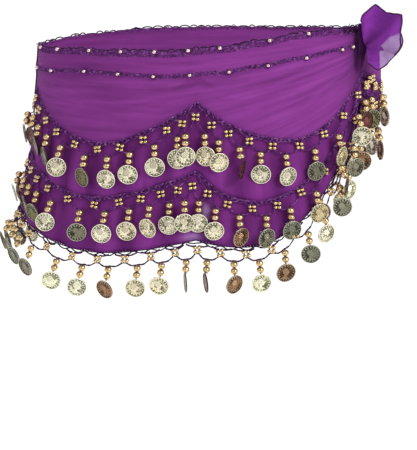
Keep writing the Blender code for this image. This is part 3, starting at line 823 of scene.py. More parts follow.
class HipScarfStage(bpy.types.PropertyGroup):
    floor: colour_field("Floor", "Colour of the floor", (0.95, 0.95, 0.95))
    drop: length_field("Floor depth", "How far the floor lies below the hip line", 1.5, 0.3, 3)
    sky: amount_field("Sky", "Strength of the even light", 0.42, 0, 3)
    key: amount_field("Key", "Strength of the main lamp", 1.6, 0, 10)
    fill: amount_field("Fill", "Strength of the second lamp", 0.32, 0, 10)
    top: amount_field("Top", "Strength of the lamp overhead", 1.35, 0, 10)


def cloth_settings():
    return bpy.context.scene.hip_scarf_cloth


def crochet_settings():
    return bpy.context.scene.hip_scarf_crochet


def coin_settings():
    return bpy.context.scene.hip_scarf_coins


# --- cloth --------------------------------------------------------------------------------------
CLOTH_COLUMNS, CLOTH_ROWS = 340, {1: 44, 2: 20, 3: 20}
FAN_FILL = 0.62                     # how much of its flat rectangle a tied end fills
FAN_COLUMNS, FAN_ROWS, KNOT_SIDES, KNOT_ROWS = 100, 40, 72, 60
# Painted light: the cloth round the back is painted palest about this angle.
LIT_BEHIND = -218           # the angle round the back where the cloth is palest


def column_angles(count):
    return [angle_at(ROUND * step / count) for step in range(count)]


def dress(item, material, nodes=()):
    """Give a piece its material and slot, fix it to the body and hide the nodes it stands for."""
    item.data.materials.append(material)
    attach(item, "root")
    if nodes:
        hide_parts(*nodes)
    return item


def finish_shell(item, material, node):
    solid = item.modifiers.new("thickness", "SOLIDIFY")
    solid.thickness, solid.offset = cloth_settings().thickness, 0.0
    bake(item)
    item.data.materials.clear()
    return dress(item, material, [node])


def shell_area(verts, faces):
    total = 0.0
    for face in faces:
        a, b, c, d = (verts[index] for index in face)
        total += ((c - a).cross(d - b)).length / 2
    return total * MM * MM


def beside_angle(angle, centre, spread):
    """1 at an angle round the hips, dying out on both sides of it."""
    return math.exp(-(((angle - centre + 180.0) % 360.0 - 180.0) / spread) ** 2)


def flow_height(angle, height):
    """Where the folds of the top tier run: along lines that gather at the knot."""
    turn = min(abs(angle - KNOT_ANGLE), abs(angle - KNOT_ANGLE + 360.0)) / 75.0
    opened = 0.30 + 0.70 * min(turn, 1.0) ** 0.8
    centre = -4.0 - 40.0 * min(turn, 1.0)
    return (height - centre) / opened


def top_tier_at(angle, height, top, low):
    """Offset of the top tier's shell at a point, its painted shade, how single its cloth is, and its
    painted light.
    """
    creases = cloth_settings().creases
    trim = math.exp(-abs(height - second_height(angle) + 3.5) / 2.5)
    rim = math.exp(-abs(height - top + 1.0) / 3.0)
    # Painted shade under the second crochet line, below the top band and above the lower edge, less where
    # the back is painted lit.
    dark = 0.22 * trim + 0.24 * rim + 0.34 * math.exp(-(height - low) / 4.0)
    dark *= 1.0 - 0.85 * beside_angle(angle, LIT_BEHIND, 46)
    # Painted shade down the left side, where the cloth turns from the lamps, and beside the knot.
    dark += 0.34 * beside_angle(angle, SIDE_SEAM - 4, 10)
    dark += 0.48 * beside_angle(angle, KNOT_ANGLE, 8)
    # Painted light on the ridges of the creases and painted shade in their grooves.
    here = crease_height(angle, height, creases)
    beside = (crease_height(angle, height + 3, creases) + crease_height(angle, height - 3, creases)) / 2
    light = 0.5 + 0.75 * (here - beside) + 0.12 * (crease_height(angle, height - 4) - here)
    # Painted light inside the back and on the front right, painted shade on the front left.
    light += 0.60 * beside_angle(angle, LIT_BEHIND, 38) + 0.10 * beside_angle(angle, 30, 28)
    light -= 0.07 * beside_angle(angle, -55, 40)
    return top_face(angle, height, creases) - 0.3, dark, 0.0, light


def lower_tier_at(row, angle, height, top, low):
    """The same of a lower tier, which falls in soft waves, painted lighter on their crests and darker in
    their troughs.
    """
    along = length_at(angle)
    wave = (0.75 * math.sin(along * 2 * math.pi / 31.0 + row + 1.3 * math.sin(along / 53.0))
            + 0.5 * rough(along * 0.05, height * 0.015, row * 7.0))
    fall = share((top - height - 16.0) / 14.0)
    under = edge_height(row - 1, angle) - height
    # Painted shadow under the tier above, and painted shade above the lower edge and in the troughs of the
    # waves.
    dark = 0.38 * math.exp(-max(0.0, under) / 13.0) + 0.36 * math.exp(-(height - low) / 4.0)
    dark += 0.16 * max(0.0, -wave) * fall
    thin = 0.0
    if row == 3:
        thin = max(fold.strength * beside_angle(angle, fold.angle, fold.wide)
                   * math.exp(-((height - fold.height) / fold.tall) ** 4)
                   for fold in SINGLE_FOLDS)
    out = inside_of(row) + CLOTH - 0.45 + wave * fall * 0.8 * cloth_settings().creases
    return out, dark, thin, 0.5 + 0.26 * wave * fall


def make_tier(row):
    settings = cloth_settings()
    angles = column_angles(CLOTH_COLUMNS)
    rows = CLOTH_ROWS[row]
    verts, uvs, tints = [], [], []
    for angle in angles:
        low = edge_height(row, angle) + 0.2
        along = length_at(angle)
        top = top_edge(angle).height - 2.4 if row == 1 else edge_height(row - 1, angle) + TUCK
        for step in range(rows):
            part = step / (rows - 1)
            height = top + (low - top) * part
            if row == 1:
                out, dark, thin, light = top_tier_at(angle, height, top, low)
                uvs.append((along * MM, flow_height(angle, height) * MM))
            else:
                out, dark, thin, light = lower_tier_at(row, angle, height, top, low)
                uvs.append((height * MM, along * MM * 0.5))
            verts.append(shell_point(angle, height, out))
            # The tint carries painted shade, the single-layer share and painted light.
            tints.append((min(1.0, dark), thin, share(light), 1.0))
    faces = ring_faces(len(angles), rows)
    name = "chiffon_tier_%d" % row
    item = outward_faces(make_object(name, verts, faces, uvs, tints))
    material = chiffon("chiffon_%d" % row, settings.front if row == 1 else settings.lower,
                       settings.shadow, 1.2 if row == 1 else 1.7, settings.single if row == 3 else None)
    area = shell_area(verts, faces)
    finish_shell(item, material, "cloth_tier_%d" % row)
    return item


def fan_ray(fan, across, part):
    """Bearing in degrees and distance from the root of a point of a gathered end."""
    place = across * (len(fan.reaches) - 1)
    whole = min(int(place), len(fan.reaches) - 2)
    rim = fan.reaches[whole] + (fan.reaches[whole + 1] - fan.reaches[whole]) * (place - whole)
    return fan.first + (fan.last - fan.first) * across, FAN_ROOT + (rim - FAN_ROOT) * part


def fan_fold(fan, across):
    """Height of the broad folds of a gathered end, from -1 to 1."""
    return math.sin(2 * math.pi * fan.turns * 0.45 * across + 0.6)


def fan_point(fan, across, part):
    """A point of a gathered end, with the pleats of its solid and finer crumples on them."""
    degrees, reach = fan_ray(fan, across, part)
    bearing = math.radians(degrees)
    plane = math.radians(FAN_PLANE + fan.swing)
    level = Vector((math.cos(plane), -math.sin(plane), 0))
    ahead = Vector((-math.sin(plane), -math.cos(plane), 0))
    root = shell_point(TIE_ANGLE, 0, inside_of(1) + CLOTH + fan.stands)
    root.z = FAN_HEIGHT
    wave = fan_fold(fan, across) * fan.pleat * 1.1 * math.sin(math.pi * part / 2)
    fine = (math.sin(2 * math.pi * fan.turns * 1.3 * across + 2.0 + 2.2 * part) * 1.0 * part * (1.3 - part)
            + 6.0 * rough(across * 2.4, part * 1.9, fan.swing) * part
            + 2.2 * rough(across * 7.0, part * 4.0, fan.swing) * part)
    depth = fan.apart + wave + fine + fan.curl * part * part * math.cos(bearing)
    swirl = 2.0 * rough(part * 4.0, across * 6.0, 5.0) * part
    return (root + level * reach * math.cos(bearing) + UP * reach * math.sin(bearing)
            + ahead * depth + level * swirl * 0.5 + Vector((0, 0, swirl * 0.5)))


def single_layer(fan, across, part):
    """1 where the cloth of an end lies in a single layer, out past its gathered middle."""
    degrees, reach = fan_ray(fan, across, part)
    level = reach * math.cos(math.radians(degrees))
    ragged = 0.8 * rough(degrees * 0.05, level * 0.1, 3.0)

    def step(value, low, high):
        return share((value - low) / (high - low))

    bearing = fan.bearing + 12.0 * min(1.0, max(0.0, level - fan.single) / 10.0)
    return step(level + ragged, fan.single - 0.5, fan.single + 0.7) * step(bearing - degrees, -1.5, 1.5)


def make_tie_end(fan, edge_material):
    settings = cloth_settings()
    columns, rows = FAN_COLUMNS, FAN_ROWS
    verts, uvs, tints = [], [], []
    for ray in range(columns):
        across = ray / (columns - 1)
        for step in range(rows):
            part = step / (rows - 1)
            verts.append(fan_point(fan, across, part))
            uvs.append((across * 0.11, part * 0.045))
            thin = single_layer(fan, across, part)
            fold = fan_fold(fan, across)
            # Painted shade at the gathered root, less where the two ends meet, and in the folds, with
            # painted light on their crests; where single, painted paler with light through it.
            meet = across ** 3 if fan.swing > 0 else (1 - across) ** 3
            dark = (0.4 if fan.swing < 0 else 0.8) * (1 - part) ** 3.2 * (1 - 0.7 * meet)
            dark += (0.03 - 0.06 * fold) * (1 - thin)
            tints.append((share(dark), thin, 0.5 + 0.15 * fold, 1.0))
    faces = ring_faces(columns, rows, closed=False)
    name = "chiffon_" + fan.name
    item = make_object(name, verts, faces, uvs, tints)
    material = chiffon(name, settings.ends, settings.shadow, 1.0, settings.single, True)
    area = shell_area(verts, faces)
    finish_shell(item, material, fan.name)
    reach = max(fan.reaches) * MM
    round(area / reach / FAN_FILL, 3)
    edging = Strands()
    edging.tube([fan_point(fan, index / 159, 1.0) for index in range(160)], 0.85, 6)
    dress(edging.build("edging_" + fan.name), edge_material)
    return item


KnotLevel = namedtuple("KnotLevel", "height across out stands")
KNOT_LEVELS = [
    KnotLevel(-27, 2.0, 1.6, 2.0), KnotLevel(-22, 4.2, 2.4, 2.8), KnotLevel(-13, 5.4, 3.4, 3.8),
    KnotLevel(-3, 6.6, 4.4, 4.8), KnotLevel(6, 6.0, 4.2, 4.6), KnotLevel(12, 4.8, 3.2, 3.6),
    KnotLevel(17, 3.4, 2.2, 2.6), KnotLevel(20, 1.6, 1.2, 1.8),
]


def make_knot():
    """Gathered cloth wound into a tight knot: deep pleats that turn round it and meet."""
    settings = cloth_settings()
    sides, rows = KNOT_SIDES, KNOT_ROWS
    out, up = outward(TIE_ANGLE), UP
    across = up.cross(out)
    verts, uvs, tints = [], [], []
    for turn in circle(sides):
        for step in range(rows):
            part = step / (rows - 1)
            height = KNOT_LEVELS[0].height * (1 - part) + KNOT_LEVELS[-1].height * part
            level = table_row(KNOT_LEVELS, height)
            centre = shell_point(TIE_ANGLE, 0, inside_of(1) + CLOTH + 2.0 + level.stands)
            centre.z = height
            pleat = math.sin(9 * turn + height * 0.16) * 0.5 + 0.5
            size = 0.86 + 0.20 * pleat + 0.06 * rough(turn, height * 0.1, 1.0)
            verts.append(centre + across * level.across * size * 0.8 * math.cos(turn)
                         + out * level.out * size * math.sin(turn))
            uvs.append((turn * 0.006, height * MM))
            # Painted light on the pleats of one side, more on the lower part and some on the other side;
            # painted shade elsewhere.
            lit = max(0.0, math.cos(turn)) * pleat
            foot = max(0.0, (-8 - height) / 19) ** 1.3
            lit = min(1.0, lit + 0.75 * foot + 0.4 * max(0.0, -math.cos(turn)) ** 2)
            tints.append((1.0 - 0.75 * lit, 0.0, 0.3 + 0.5 * lit, 1.0))
    faces = ring_faces(sides, rows) + end_caps(sides, rows)
    item = outward_faces(make_object("chiffon_knot", verts, faces, uvs, tints))
    # The knot's colour and shadow are darker copies of the lower tiers': painted shade.
    material = chiffon("chiffon_knot", times(settings.lower, 0.75), times(settings.shadow, 0.25))
    return dress(item, material, ["knot"])


# --- crochet and nets ---------------------------------------------------------------------------
# Threads that weave round each other: how many, how far they rise and lie deep, and their
# thickness and stitch as shares of the settings.
Braid = namedtuple("Braid", "count rise depth thick stitch")
TOP_BRAIDS = ((0.7, Braid(2, 0.6, 0.35, 1.0, 0.7)), (2.4, Braid(3, 0.7, 0.5, 1.1, 1.1)))
TOP_FRINGE = Braid(2, 1.5, 0.35, 0.85, 1.5)
SECOND_BRAIDS = (Braid(2, 2.0, 0.35, 0.8, 1.6), Braid(2, 1.0, 0.45, 0.8, 0.9))
EDGE_BRAIDS = (Braid(2, 0.7, 0.4, 0.95, 1.0), Braid(2, 1.3, 0.35, 0.8, 1.6))
HEM_BRAIDS = (Braid(2, 0.4, 0.4, 0.9, 1.0), Braid(1, 1.3, 0.3, 1.5, 2.7))
BRAID_STEP = 0.75
EDGE_DOWN = (0.2, 1.9)            # of an edge's close cord and of its chain, below the cloth's edge


def braid(strands, place, kind):
    """The threads of a braid along a closed line; place(length) gives the line's frame."""
    settings = crochet_settings()
    radius = settings.radius / MM * kind.thick
    turns = round(ROUND / (settings.stitch / MM * kind.stitch))
    steps = int(ROUND / BRAID_STEP)
    for number in range(kind.count):
        phase = 2 * math.pi * number / kind.count
        points = []
        for index in range(steps):
            length = ROUND * index / steps
            spot = place(length)
            turn = 2 * math.pi * turns * index / steps
            wobble = 0.16 * kind.rise * rough(length * 0.5, number * 3.0, 0.0)
            points.append(spot.point + spot.down * (kind.rise * math.sin(turn + phase) + wobble)
                          + spot.out * kind.depth * math.cos(2 * (turn + phase)))
        strands.tube(points, radius, 5, closed=True)


class Line:
    """Frames along a closed line round the scarf, read quickly from a table."""

    def __init__(self, height, out, steps=900):
        self.spots = []
        for index in range(steps):
            angle = angle_at(ROUND * index / steps)
            point = shell_point(angle, height(angle), out(angle))
            self.spots.append((point, outward(angle)))

    def __call__(self, length):
        place = (length / ROUND * len(self.spots)) % len(self.spots)
        whole = int(place) % len(self.spots)
        first, last = self.spots[whole], self.spots[(whole + 1) % len(self.spots)]
        after = self.spots[(whole + 2) % len(self.spots)]
        point = first[0].lerp(last[0], place - int(place))
        along = (after[0] - first[0]).normalized()
        out = first[1].lerp(last[1], place - int(place)).normalized()
        down = out.cross(along).normalized()
        if down.z > 0:
            down.negate()
        return Place(point, along, out, down)


def picots(strands, place, tall, wide, radius, base):
    """Small open loops that stand along a closed line, some stretched tall and others pulled flat."""
    rng = random.Random(31)
    points, length = [], 0.0
    while length < ROUND - 0.6 * wide:
        span = min(wide * rng.uniform(0.6, 1.5), ROUND - length)
        rise = tall * rng.choice((0.3, 0.6, 0.9, 1.1)) * min(1.0, span / wide + 0.2)
        for index in range(10):
            part = index / 10
            spot = place(length + span * part)
            lift = base + rise * math.sin(math.pi * part) ** 0.6
            points.append(spot.point - spot.down * lift + spot.out * 0.35 * math.sin(2 * math.pi * part))
        length += span
    strands.tube(points, radius, 5, closed=True)


def bead_loops(strands):
    """A loop of thread round each single bead of the two crochet lines."""
    for spot in small_bead_spots():
        frame = Euler(spot.turn).to_matrix()
        along, out, up = frame.col[0], frame.col[1], frame.col[2]
        ring = [spot.point - out * 0.8 + (along * math.cos(turn) + up * math.sin(turn)) * 0.62 * spot.size
                for turn in circle(12)]
        strands.tube(ring, 0.42, 4, closed=True)


def side_seam(strands, radius):
    """Two threads wound down the side, over the seam of the top tier."""
    top, low = top_edge(SIDE_SEAM).height - 4.0, edge_height(1, SIDE_SEAM)
    for phase in (0.0, math.pi):
        points = []
        for step in range(120):
            height = top + (low - top) * step / 119
            turn = (top - height) * 2 * math.pi / 5.2 + phase
            points.append(shell_point(SIDE_SEAM + 0.5 * math.sin(turn), height,
                                      top_face(SIDE_SEAM, height) + 0.7 + 0.5 * math.cos(turn)))
        strands.tube(points, radius, 5, up=Vector((1, 0, 0)))


def loose_ends(strands):
    """Short ends of thread that stand out where the crochet lines are drawn into the knot."""
    rng = random.Random(5)
    for _ in range(34):
        angle = angle_at(4.0 + 22.0 * rng.random())
        height = top_edge(angle).height - rng.uniform(0.0, 6.0)
        root = shell_point(angle, height, top_face(angle, height) + 0.6)
        normal = outward(angle)
        along = UP.cross(normal)
        tip = (UP * rng.uniform(3.0, 6.5) + along * rng.uniform(-3.5, 2.5)
               + normal * rng.uniform(0.5, 3.0))
        bend = along * rng.uniform(-0.8, 0.8)
        strands.tube([root, root + tip * 0.5 + bend, root + tip], [0.75, 0.5, 0.2], 4)


def make_top_crochet(material, dark):
    """Two cords with open stitches between them, and small loops along the top."""
    radius = crochet_settings().radius / MM
    strands = Strands()

    def line(raised):
        return Line(lambda angle: top_edge(angle).height - TOP_BAND + raised,
                    lambda angle: inside_of(1) + LACE / 2
                    + crease_height(angle, top_edge(angle).height - 6))

    for raised, kind in TOP_BRAIDS:
        braid(strands, line(raised), kind)
    below = Line(lambda angle: top_edge(angle).height - TOP_BAND - 0.9,
                 lambda angle: top_face(angle, top_edge(angle).height - TOP_BAND - 0.9) + 0.45)
    braid(strands, below, TOP_FRINGE)
    bead_loops(strands)
    loops = Strands()
    picots(loops, line(2.6), 2.2, 9.0, radius * 1.5, 0.3)
    side_seam(loops, radius * 1.2)
    loose_ends(loops)
    dress(loops.build("crochet_top_loops"), dark)
    return dress(strands.build("crochet_top"), material, ["top_crochet_band"])


def make_second_crochet(material):
    strands = Strands()
    line = Line(second_height, lambda angle: top_face(angle, second_height(angle)) + 0.55)
    for kind in SECOND_BRAIDS:
        braid(strands, line, kind)
    return dress(strands.build("crochet_second"), material, ["second_crochet_band"])


def make_edge_crochet(row, material):
    """A close cord on the cloth's edge and a chain of open stitches below it."""
    strands = Strands()
    for down, kind in zip(EDGE_DOWN, HEM_BRAIDS if row == 3 else EDGE_BRAIDS):
        line = Line(lambda angle: edge_height(row, angle) - down, lambda angle: inside_of(row) + LACE / 2)
        braid(strands, line, kind)
    return dress(strands.build("crochet_edge_%d" % row), material)


def curve_between(points, steps):
    """A smooth run through a few points."""
    run = []
    spots = [points[0]] + list(points) + [points[-1]]
    for index in range(1, len(spots) - 2):
        a, b, c, d = spots[index - 1:index + 3]
        for step in range(steps):
            t = step / steps
            run.append(0.5 * ((2 * b) + (c - a) * t + (2 * a - 5 * b + 4 * c - d) * t * t
                              + (3 * b - a - 3 * c + d) * t ** 3))
    run.append(spots[-2])
    return run


def twisted(strands, points, radius):
    """Two thin threads wound round each other along a run of points."""
    for phase in (0.0, math.pi):
        run, length = [], 0.0
        for index, point in enumerate(points):
            if index:
                length += (point - points[index - 1]).length
            ahead = (points[min(index + 1, len(points) - 1)] - points[max(index - 1, 0)]).normalized()
            side = ahead.cross(UP)
            side = side.normalized() if side.length > 1e-5 else Vector((1, 0, 0))
            top = side.cross(ahead)
            turn = 2 * math.pi * length / NET_PITCH + phase
            run.append(point + (side * math.cos(turn) + top * math.sin(turn)) * radius * 0.75)
        strands.tube(run, radius * 0.8, 4)


SQUARE_REACH, SQUARE_HALF, NET_PITCH = 3.4, 1.5, 2.6


def square_corner(place, side):
    """Where the net's threads leave a lower corner of a square of beads."""
    return place.point + place.down * SQUARE_REACH + place.along * side * SQUARE_HALF


def net_rng(row, length):
    return random.Random(int(length * 10) + 77 * row)


def square_centre(row, length):
    rng = net_rng(row, length)
    down = 7.0 + 0.5 * sag(row, length) + rng.uniform(-0.6, 0.6)
    return net_place(row, length, down, LACE / 2 + 0.4)


def make_net(row, material):
    """The net under a tier: threads dip from the edge to each bead square and on to each drop."""
    radius = crochet_settings().net_radius / MM * (1.3 if row == 3 else 1.0)
    strands = Strands()
    posts = sorted(post_lengths(row))
    drops = sorted(length for length, _, _ in edge_lengths(row))
    for length in posts:
        place = square_centre(row, length)
        rng = net_rng(row, length + 3)
        for side in (-1, 1):
            reach = rng.uniform(6.5, 9.5)
            edge = net_place(row, length - side * reach, 2.2, LACE / 2)
            top = place.point - place.down * 3.6 + place.along * side * 1.2
            low = square_corner(place, side)
            middle = edge.point.lerp(top, 0.55) + place.down * 0.9
            twisted(strands, curve_between([edge.point, middle, top], 7), radius)
            strands.tube([top, place.point + place.along * side * 1.7, low], radius * 0.8, 4)
        left, right = square_corner(place, -1), square_corner(place, 1)
        strands.tube([left, left.lerp(right, 0.5) + place.down * 0.5, right], radius * 0.8, 4)
    for length in drops:
        hook = net_place(row, length, NET_DROP + NET_THREAD - 0.7 + sag(row, length), LACE / 2)
        before = max((post for post in posts if post < length), default=posts[-1] - ROUND)
        after = min((post for post in posts if post > length), default=posts[0] + ROUND)
        for other, side in ((before, 1), (after, -1)):
            place = square_centre(row, other % ROUND)
            corner = square_corner(place, -side)
            middle = corner.lerp(hook.point, 0.5) + place.down * 1.9
            twisted(strands, curve_between([corner, middle, hook.point], 7), radius)
    return dress(strands.build("net_%d" % row), material)


# --- beads and coins, by geometry nodes ---------------------------------------------------------
def bead_source(name, sides, rows):
    """A round bead of diameter 1 with its hole along Z."""
    profile = [(0.11, 0.38)]
    for step in range(rows + 1):
        turn = math.radians(74 - 148 * step / rows)
        profile.append((0.5 * math.cos(turn), 0.5 * math.sin(turn) * 0.88))
    profile.append((0.11, -0.38))
    verts, faces, uvs = [], [], []
    for turn in circle(sides):
        for reach, height in profile:
            verts.append(Vector((reach * math.cos(turn), reach * math.sin(turn), height)) / MM)
            uvs.append((reach, height))
    faces = ring_faces(sides, len(profile)) + end_caps(sides, len(profile))
    item = outward_faces(make_object(name, verts, faces, uvs))
    item.data.uv_layers[0].name = "face"
    return item


def coin_source(name):
    """A stamped coin of diameter 1 in its XZ plane: raised rims, a dished field and a soft crown."""
    sides, thick = 36, 0.030
    profile = [(0.0, 0.016), (0.16, 0.018), (0.30, 0.012), (0.40, 0.006), (0.445, 0.008),
               (0.462, 0.026), (0.485, 0.029), (0.499, 0.018)]
    levels = [(r, d + thick * 0.25) for r, d in profile] + [(r, -d - thick * 0.25)
                                                            for r, d in reversed(profile)]
    verts, uvs = [], []
    for turn in circle(sides):
        for reach, deep in levels:
            verts.append(Vector((reach * math.cos(turn), deep, reach * math.sin(turn))) / MM)
            mirror = 1 if deep > 0 else -1
            uvs.append((2 * reach * math.cos(turn) * mirror, 2 * reach * math.sin(turn)))
    item = make_object(name, verts, ring_faces(sides, len(levels)), uvs)
    item.data.uv_layers[0].name = "face"
    return outward_faces(item, merge=True)


Spot = namedtuple("Spot", "point turn size tint")


def scatter_tree():
    """Node group: put a source at every point, with the point's own turn, size and tint."""
    tree = bpy.data.node_groups.new("scatter_pieces", "GeometryNodeTree")
    for name, way, kind in (("Geometry", "INPUT", "Geometry"), ("Source", "INPUT", "Object"),
                            ("Material", "INPUT", "Material"), ("Seed", "INPUT", "Int"),
                            ("Size Spread", "INPUT", "Float"), ("Geometry", "OUTPUT", "Geometry")):
        tree.interface.new_socket(name, in_out=way, socket_type="NodeSocket" + kind)
    tree.interface.items_tree["Seed"].default_value = 7
    tree.interface.items_tree["Size Spread"].default_value = 0.04

    def add(kind, inputs, **settings):
        return add_node(tree, kind, inputs, **settings).outputs

    start = add("NodeGroupInput", {})
    source = add("GeometryNodeObjectInfo", {"Object": start["Source"]})
    turn = add("GeometryNodeInputNamedAttribute", {"Name": "turn"}, data_type="FLOAT_VECTOR")
    size = add("GeometryNodeInputNamedAttribute", {"Name": "size"}, data_type="FLOAT")
    rotation = add("FunctionNodeEulerToRotation", {0: turn["Attribute"]})
    low = add("ShaderNodeMath", {0: 1.0, 1: start["Size Spread"]}, operation="SUBTRACT")
    vary = add("FunctionNodeRandomValue", {2: low[0], 3: 1.0, "Seed": start["Seed"]}, data_type="FLOAT")
    scale = add("ShaderNodeMath", {0: size["Attribute"], 1: vary[1]}, operation="MULTIPLY")
    place = add("GeometryNodeInstanceOnPoints",
                {"Points": start["Geometry"], "Instance": source["Geometry"],
                 "Rotation": rotation[0], "Scale": scale[0]})
    real = add("GeometryNodeRealizeInstances", {"Geometry": place["Instances"]})
    cover = add("GeometryNodeSetMaterial", {"Geometry": real["Geometry"], "Material": start["Material"]})
    add("NodeGroupOutput", {"Geometry": cover["Geometry"]})
    return tree


def scatter(name, spots, source, material, spread=0.0, seed=7):
    """One mesh of a source placed at many spots."""
    data = bpy.data.meshes.new(name)
    data.from_pydata([tuple(spot.point * MM) for spot in spots], [], [])
    for key, kind in (("turn", "FLOAT_VECTOR"), ("size", "FLOAT"), ("tint", "FLOAT_COLOR")):
        data.attributes.new(key, kind, "POINT")
    turns, sizes, tints = (data.attributes[key] for key in ("turn", "size", "tint"))
    for index, spot in enumerate(spots):
        turns.data[index].vector = spot.turn
        sizes.data[index].value = spot.size * MM
        tints.data[index].color = (*spot.tint[:3], 1.0)
    item = link(bpy.data.objects.new(name, data))
    tree = bpy.data.node_groups.get("scatter_pieces") or scatter_tree()
    nodes = item.modifiers.new("scatter", "NODES")
    nodes.node_group = tree
    keys = {socket.name: socket.identifier for socket in tree.interface.items_tree
            if socket.in_out == "INPUT"}
    nodes[keys["Source"]] = source
    nodes[keys["Material"]] = material
    nodes[keys["Seed"]] = seed
    nodes[keys["Size Spread"]] = spread
    bake(item)
    item.data.polygons.foreach_set("use_smooth", [True] * len(item.data.polygons))
    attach(item, "root")
    return item


def euler(right, ahead, up):
    return tuple(Matrix((right, ahead, up)).transposed().to_euler())


WHITE = (1.0, 1.0, 1.0)


def turned_spot(point, along, out, down, size, tint=WHITE):
    """A spot for a source that stands along, out and down."""
    return Spot(point, euler(along, out, -down), size, tint)


LINE_BEAD_FULL, DROP_BEAD_FULL = 1.02, 1.24      # widths of the beads, of their nominal sizes

BEAD_ANGLES = {
    "top": (33.3, 19.3, 3.1, -7.0, -18.1, -29.9, -42.7, -59.7),
    "second": (53.2, 47.4, 32.3, 18.7, 6.0, -6.4, -18.2, -30.8, -44.7, -62.8),
}
BEAD_STEP = 35.0            # between the single beads round the back


def small_bead_spots():
    """Single beads along the two crochet lines."""
    size = coin_settings().small_bead / MM
    spots = []
    for name, height, out in (
            ("top", lambda a: top_edge(a).height - 2.6, lambda a: inside_of(1) + LACE + 0.9),
            ("second", second_height, lambda a: top_face(a, second_height(a)) + 1.9)):
        lengths = [length_at(angle) for angle in BEAD_ANGLES[name]]
        rng = random.Random(len(name))
        while lengths[-1] < ROUND - 1.2 * BEAD_STEP:
            lengths.append(lengths[-1] + BEAD_STEP + rng.uniform(-3, 3))
        for length in lengths:
            angle = angle_at(length)
            point = shell_point(angle, height(angle), out(angle))
            normal = outward(angle)
            along = UP.cross(normal).normalized()
            spots.append(Spot(point, euler(along, normal, Vector((0, 0, -1))),
                              size * LINE_BEAD_FULL, WHITE))
    return spots


def square_spots(row):
    """Four beads for each square of the net, a little uneven."""
    size = coin_settings().small_bead / MM
    spots = []
    places = [(length, square_centre(row, length)) for length in post_lengths(row)]
    if row == 1:
        places += [(length, net_place(1, ROUND + length, down, LACE / 2 + 1.2))
                   for length, down in ((-16.0, 1.5), (-10.0, 4.5), (-21.0, 8.0), (-5.0, 10.0))]
    for length, place in places:
        rng = net_rng(row, length)
        lean = math.radians(rng.uniform(-14, 14))
        along = place.along * math.cos(lean) + place.down * math.sin(lean)
        down = place.down * math.cos(lean) - place.along * math.sin(lean)
        for side in (-1, 1):
            for level in (-1, 1):
                jitter = Vector((rng.uniform(-.3, .3), rng.uniform(-.3, .3), rng.uniform(-.3, .3)))
                point = (place.point + along * side * size * 0.48 + down * level * size * 0.44
                         + place.out * rng.uniform(0.2, 0.9) + jitter)
                spots.append(turned_spot(point, along, place.out, down, size))
    return spots


def finish_colour(letter, rng):
    settings = coin_settings()
    base = {"p": settings.pale, "g": settings.gold, "d": settings.dark, "b": settings.bronze,
            "o": settings.olive, "r": settings.red}[letter]
    value = rng.uniform(0.86, 1.1)
    warm = rng.uniform(-0.05, 0.05)
    return (min(1, base[0] * (value + warm)), min(1, base[1] * value), min(1, base[2] * (value - warm)))


def drop_links(row, drops, material):
    """The thread that runs through each drop, seen between its beads and over its coin."""
    strands = Strands()
    for drop in drops:
        if drop.row == row:
            frames = drop_frames(drop)
            first, second = frames.beads
            low = frames.coin - frames.down * COIN * 0.44
            strands.tube([frames.hook, first, second, low + frames.through * 0.9], 0.5, 4)
            strands.tube([second + frames.down * 2.0, low - frames.through * 0.9], 0.5, 4)
    return dress(strands.build("drop_thread_%d" % row), material)


# --- operators ----------------------------------------------------------------------------------
class HIPSCARF_OT_tiers(bpy.types.Operator):
    """Build the three chiffon tiers"""
    bl_idname = "hipscarf.tiers"
    bl_label = "Chiffon tiers"

    def execute(self, context):
        for row in (1, 2, 3):
            make_tier(row)
        return {"FINISHED"}


class HIPSCARF_OT_tie(bpy.types.Operator):
    """Build the knot and the two gathered ends"""
    bl_idname = "hipscarf.tie"
    bl_label = "Knot and tied ends"

    def execute(self, context):
        make_knot()
        settings = crochet_settings()
        material = thread("edging_thread", times(settings.outline, 2), times(settings.outline, 5))
        for fan in FANS:
            make_tie_end(fan, material)
        return {"FINISHED"}


class HIPSCARF_OT_crochet(bpy.types.Operator):
    """Build the crochet lines, edges and nets"""
    bl_idname = "hipscarf.crochet"
    bl_label = "Crochet and nets"

    def execute(self, context):
        settings = crochet_settings()
        material = thread("crochet_thread", settings.colour, settings.fleck)
        # The same thread in painted shade, for the hem, the top loops, the side seam and the loose ends.
        dark = thread("hem_thread", settings.outline, times(settings.outline, 4))
        make_top_crochet(material, dark)
        make_second_crochet(material)
        for row in (1, 2, 3):
            make_edge_crochet(row, dark if row == 3 else material)
            make_net(row, dark if row == 3 else material)
        return {"FINISHED"}


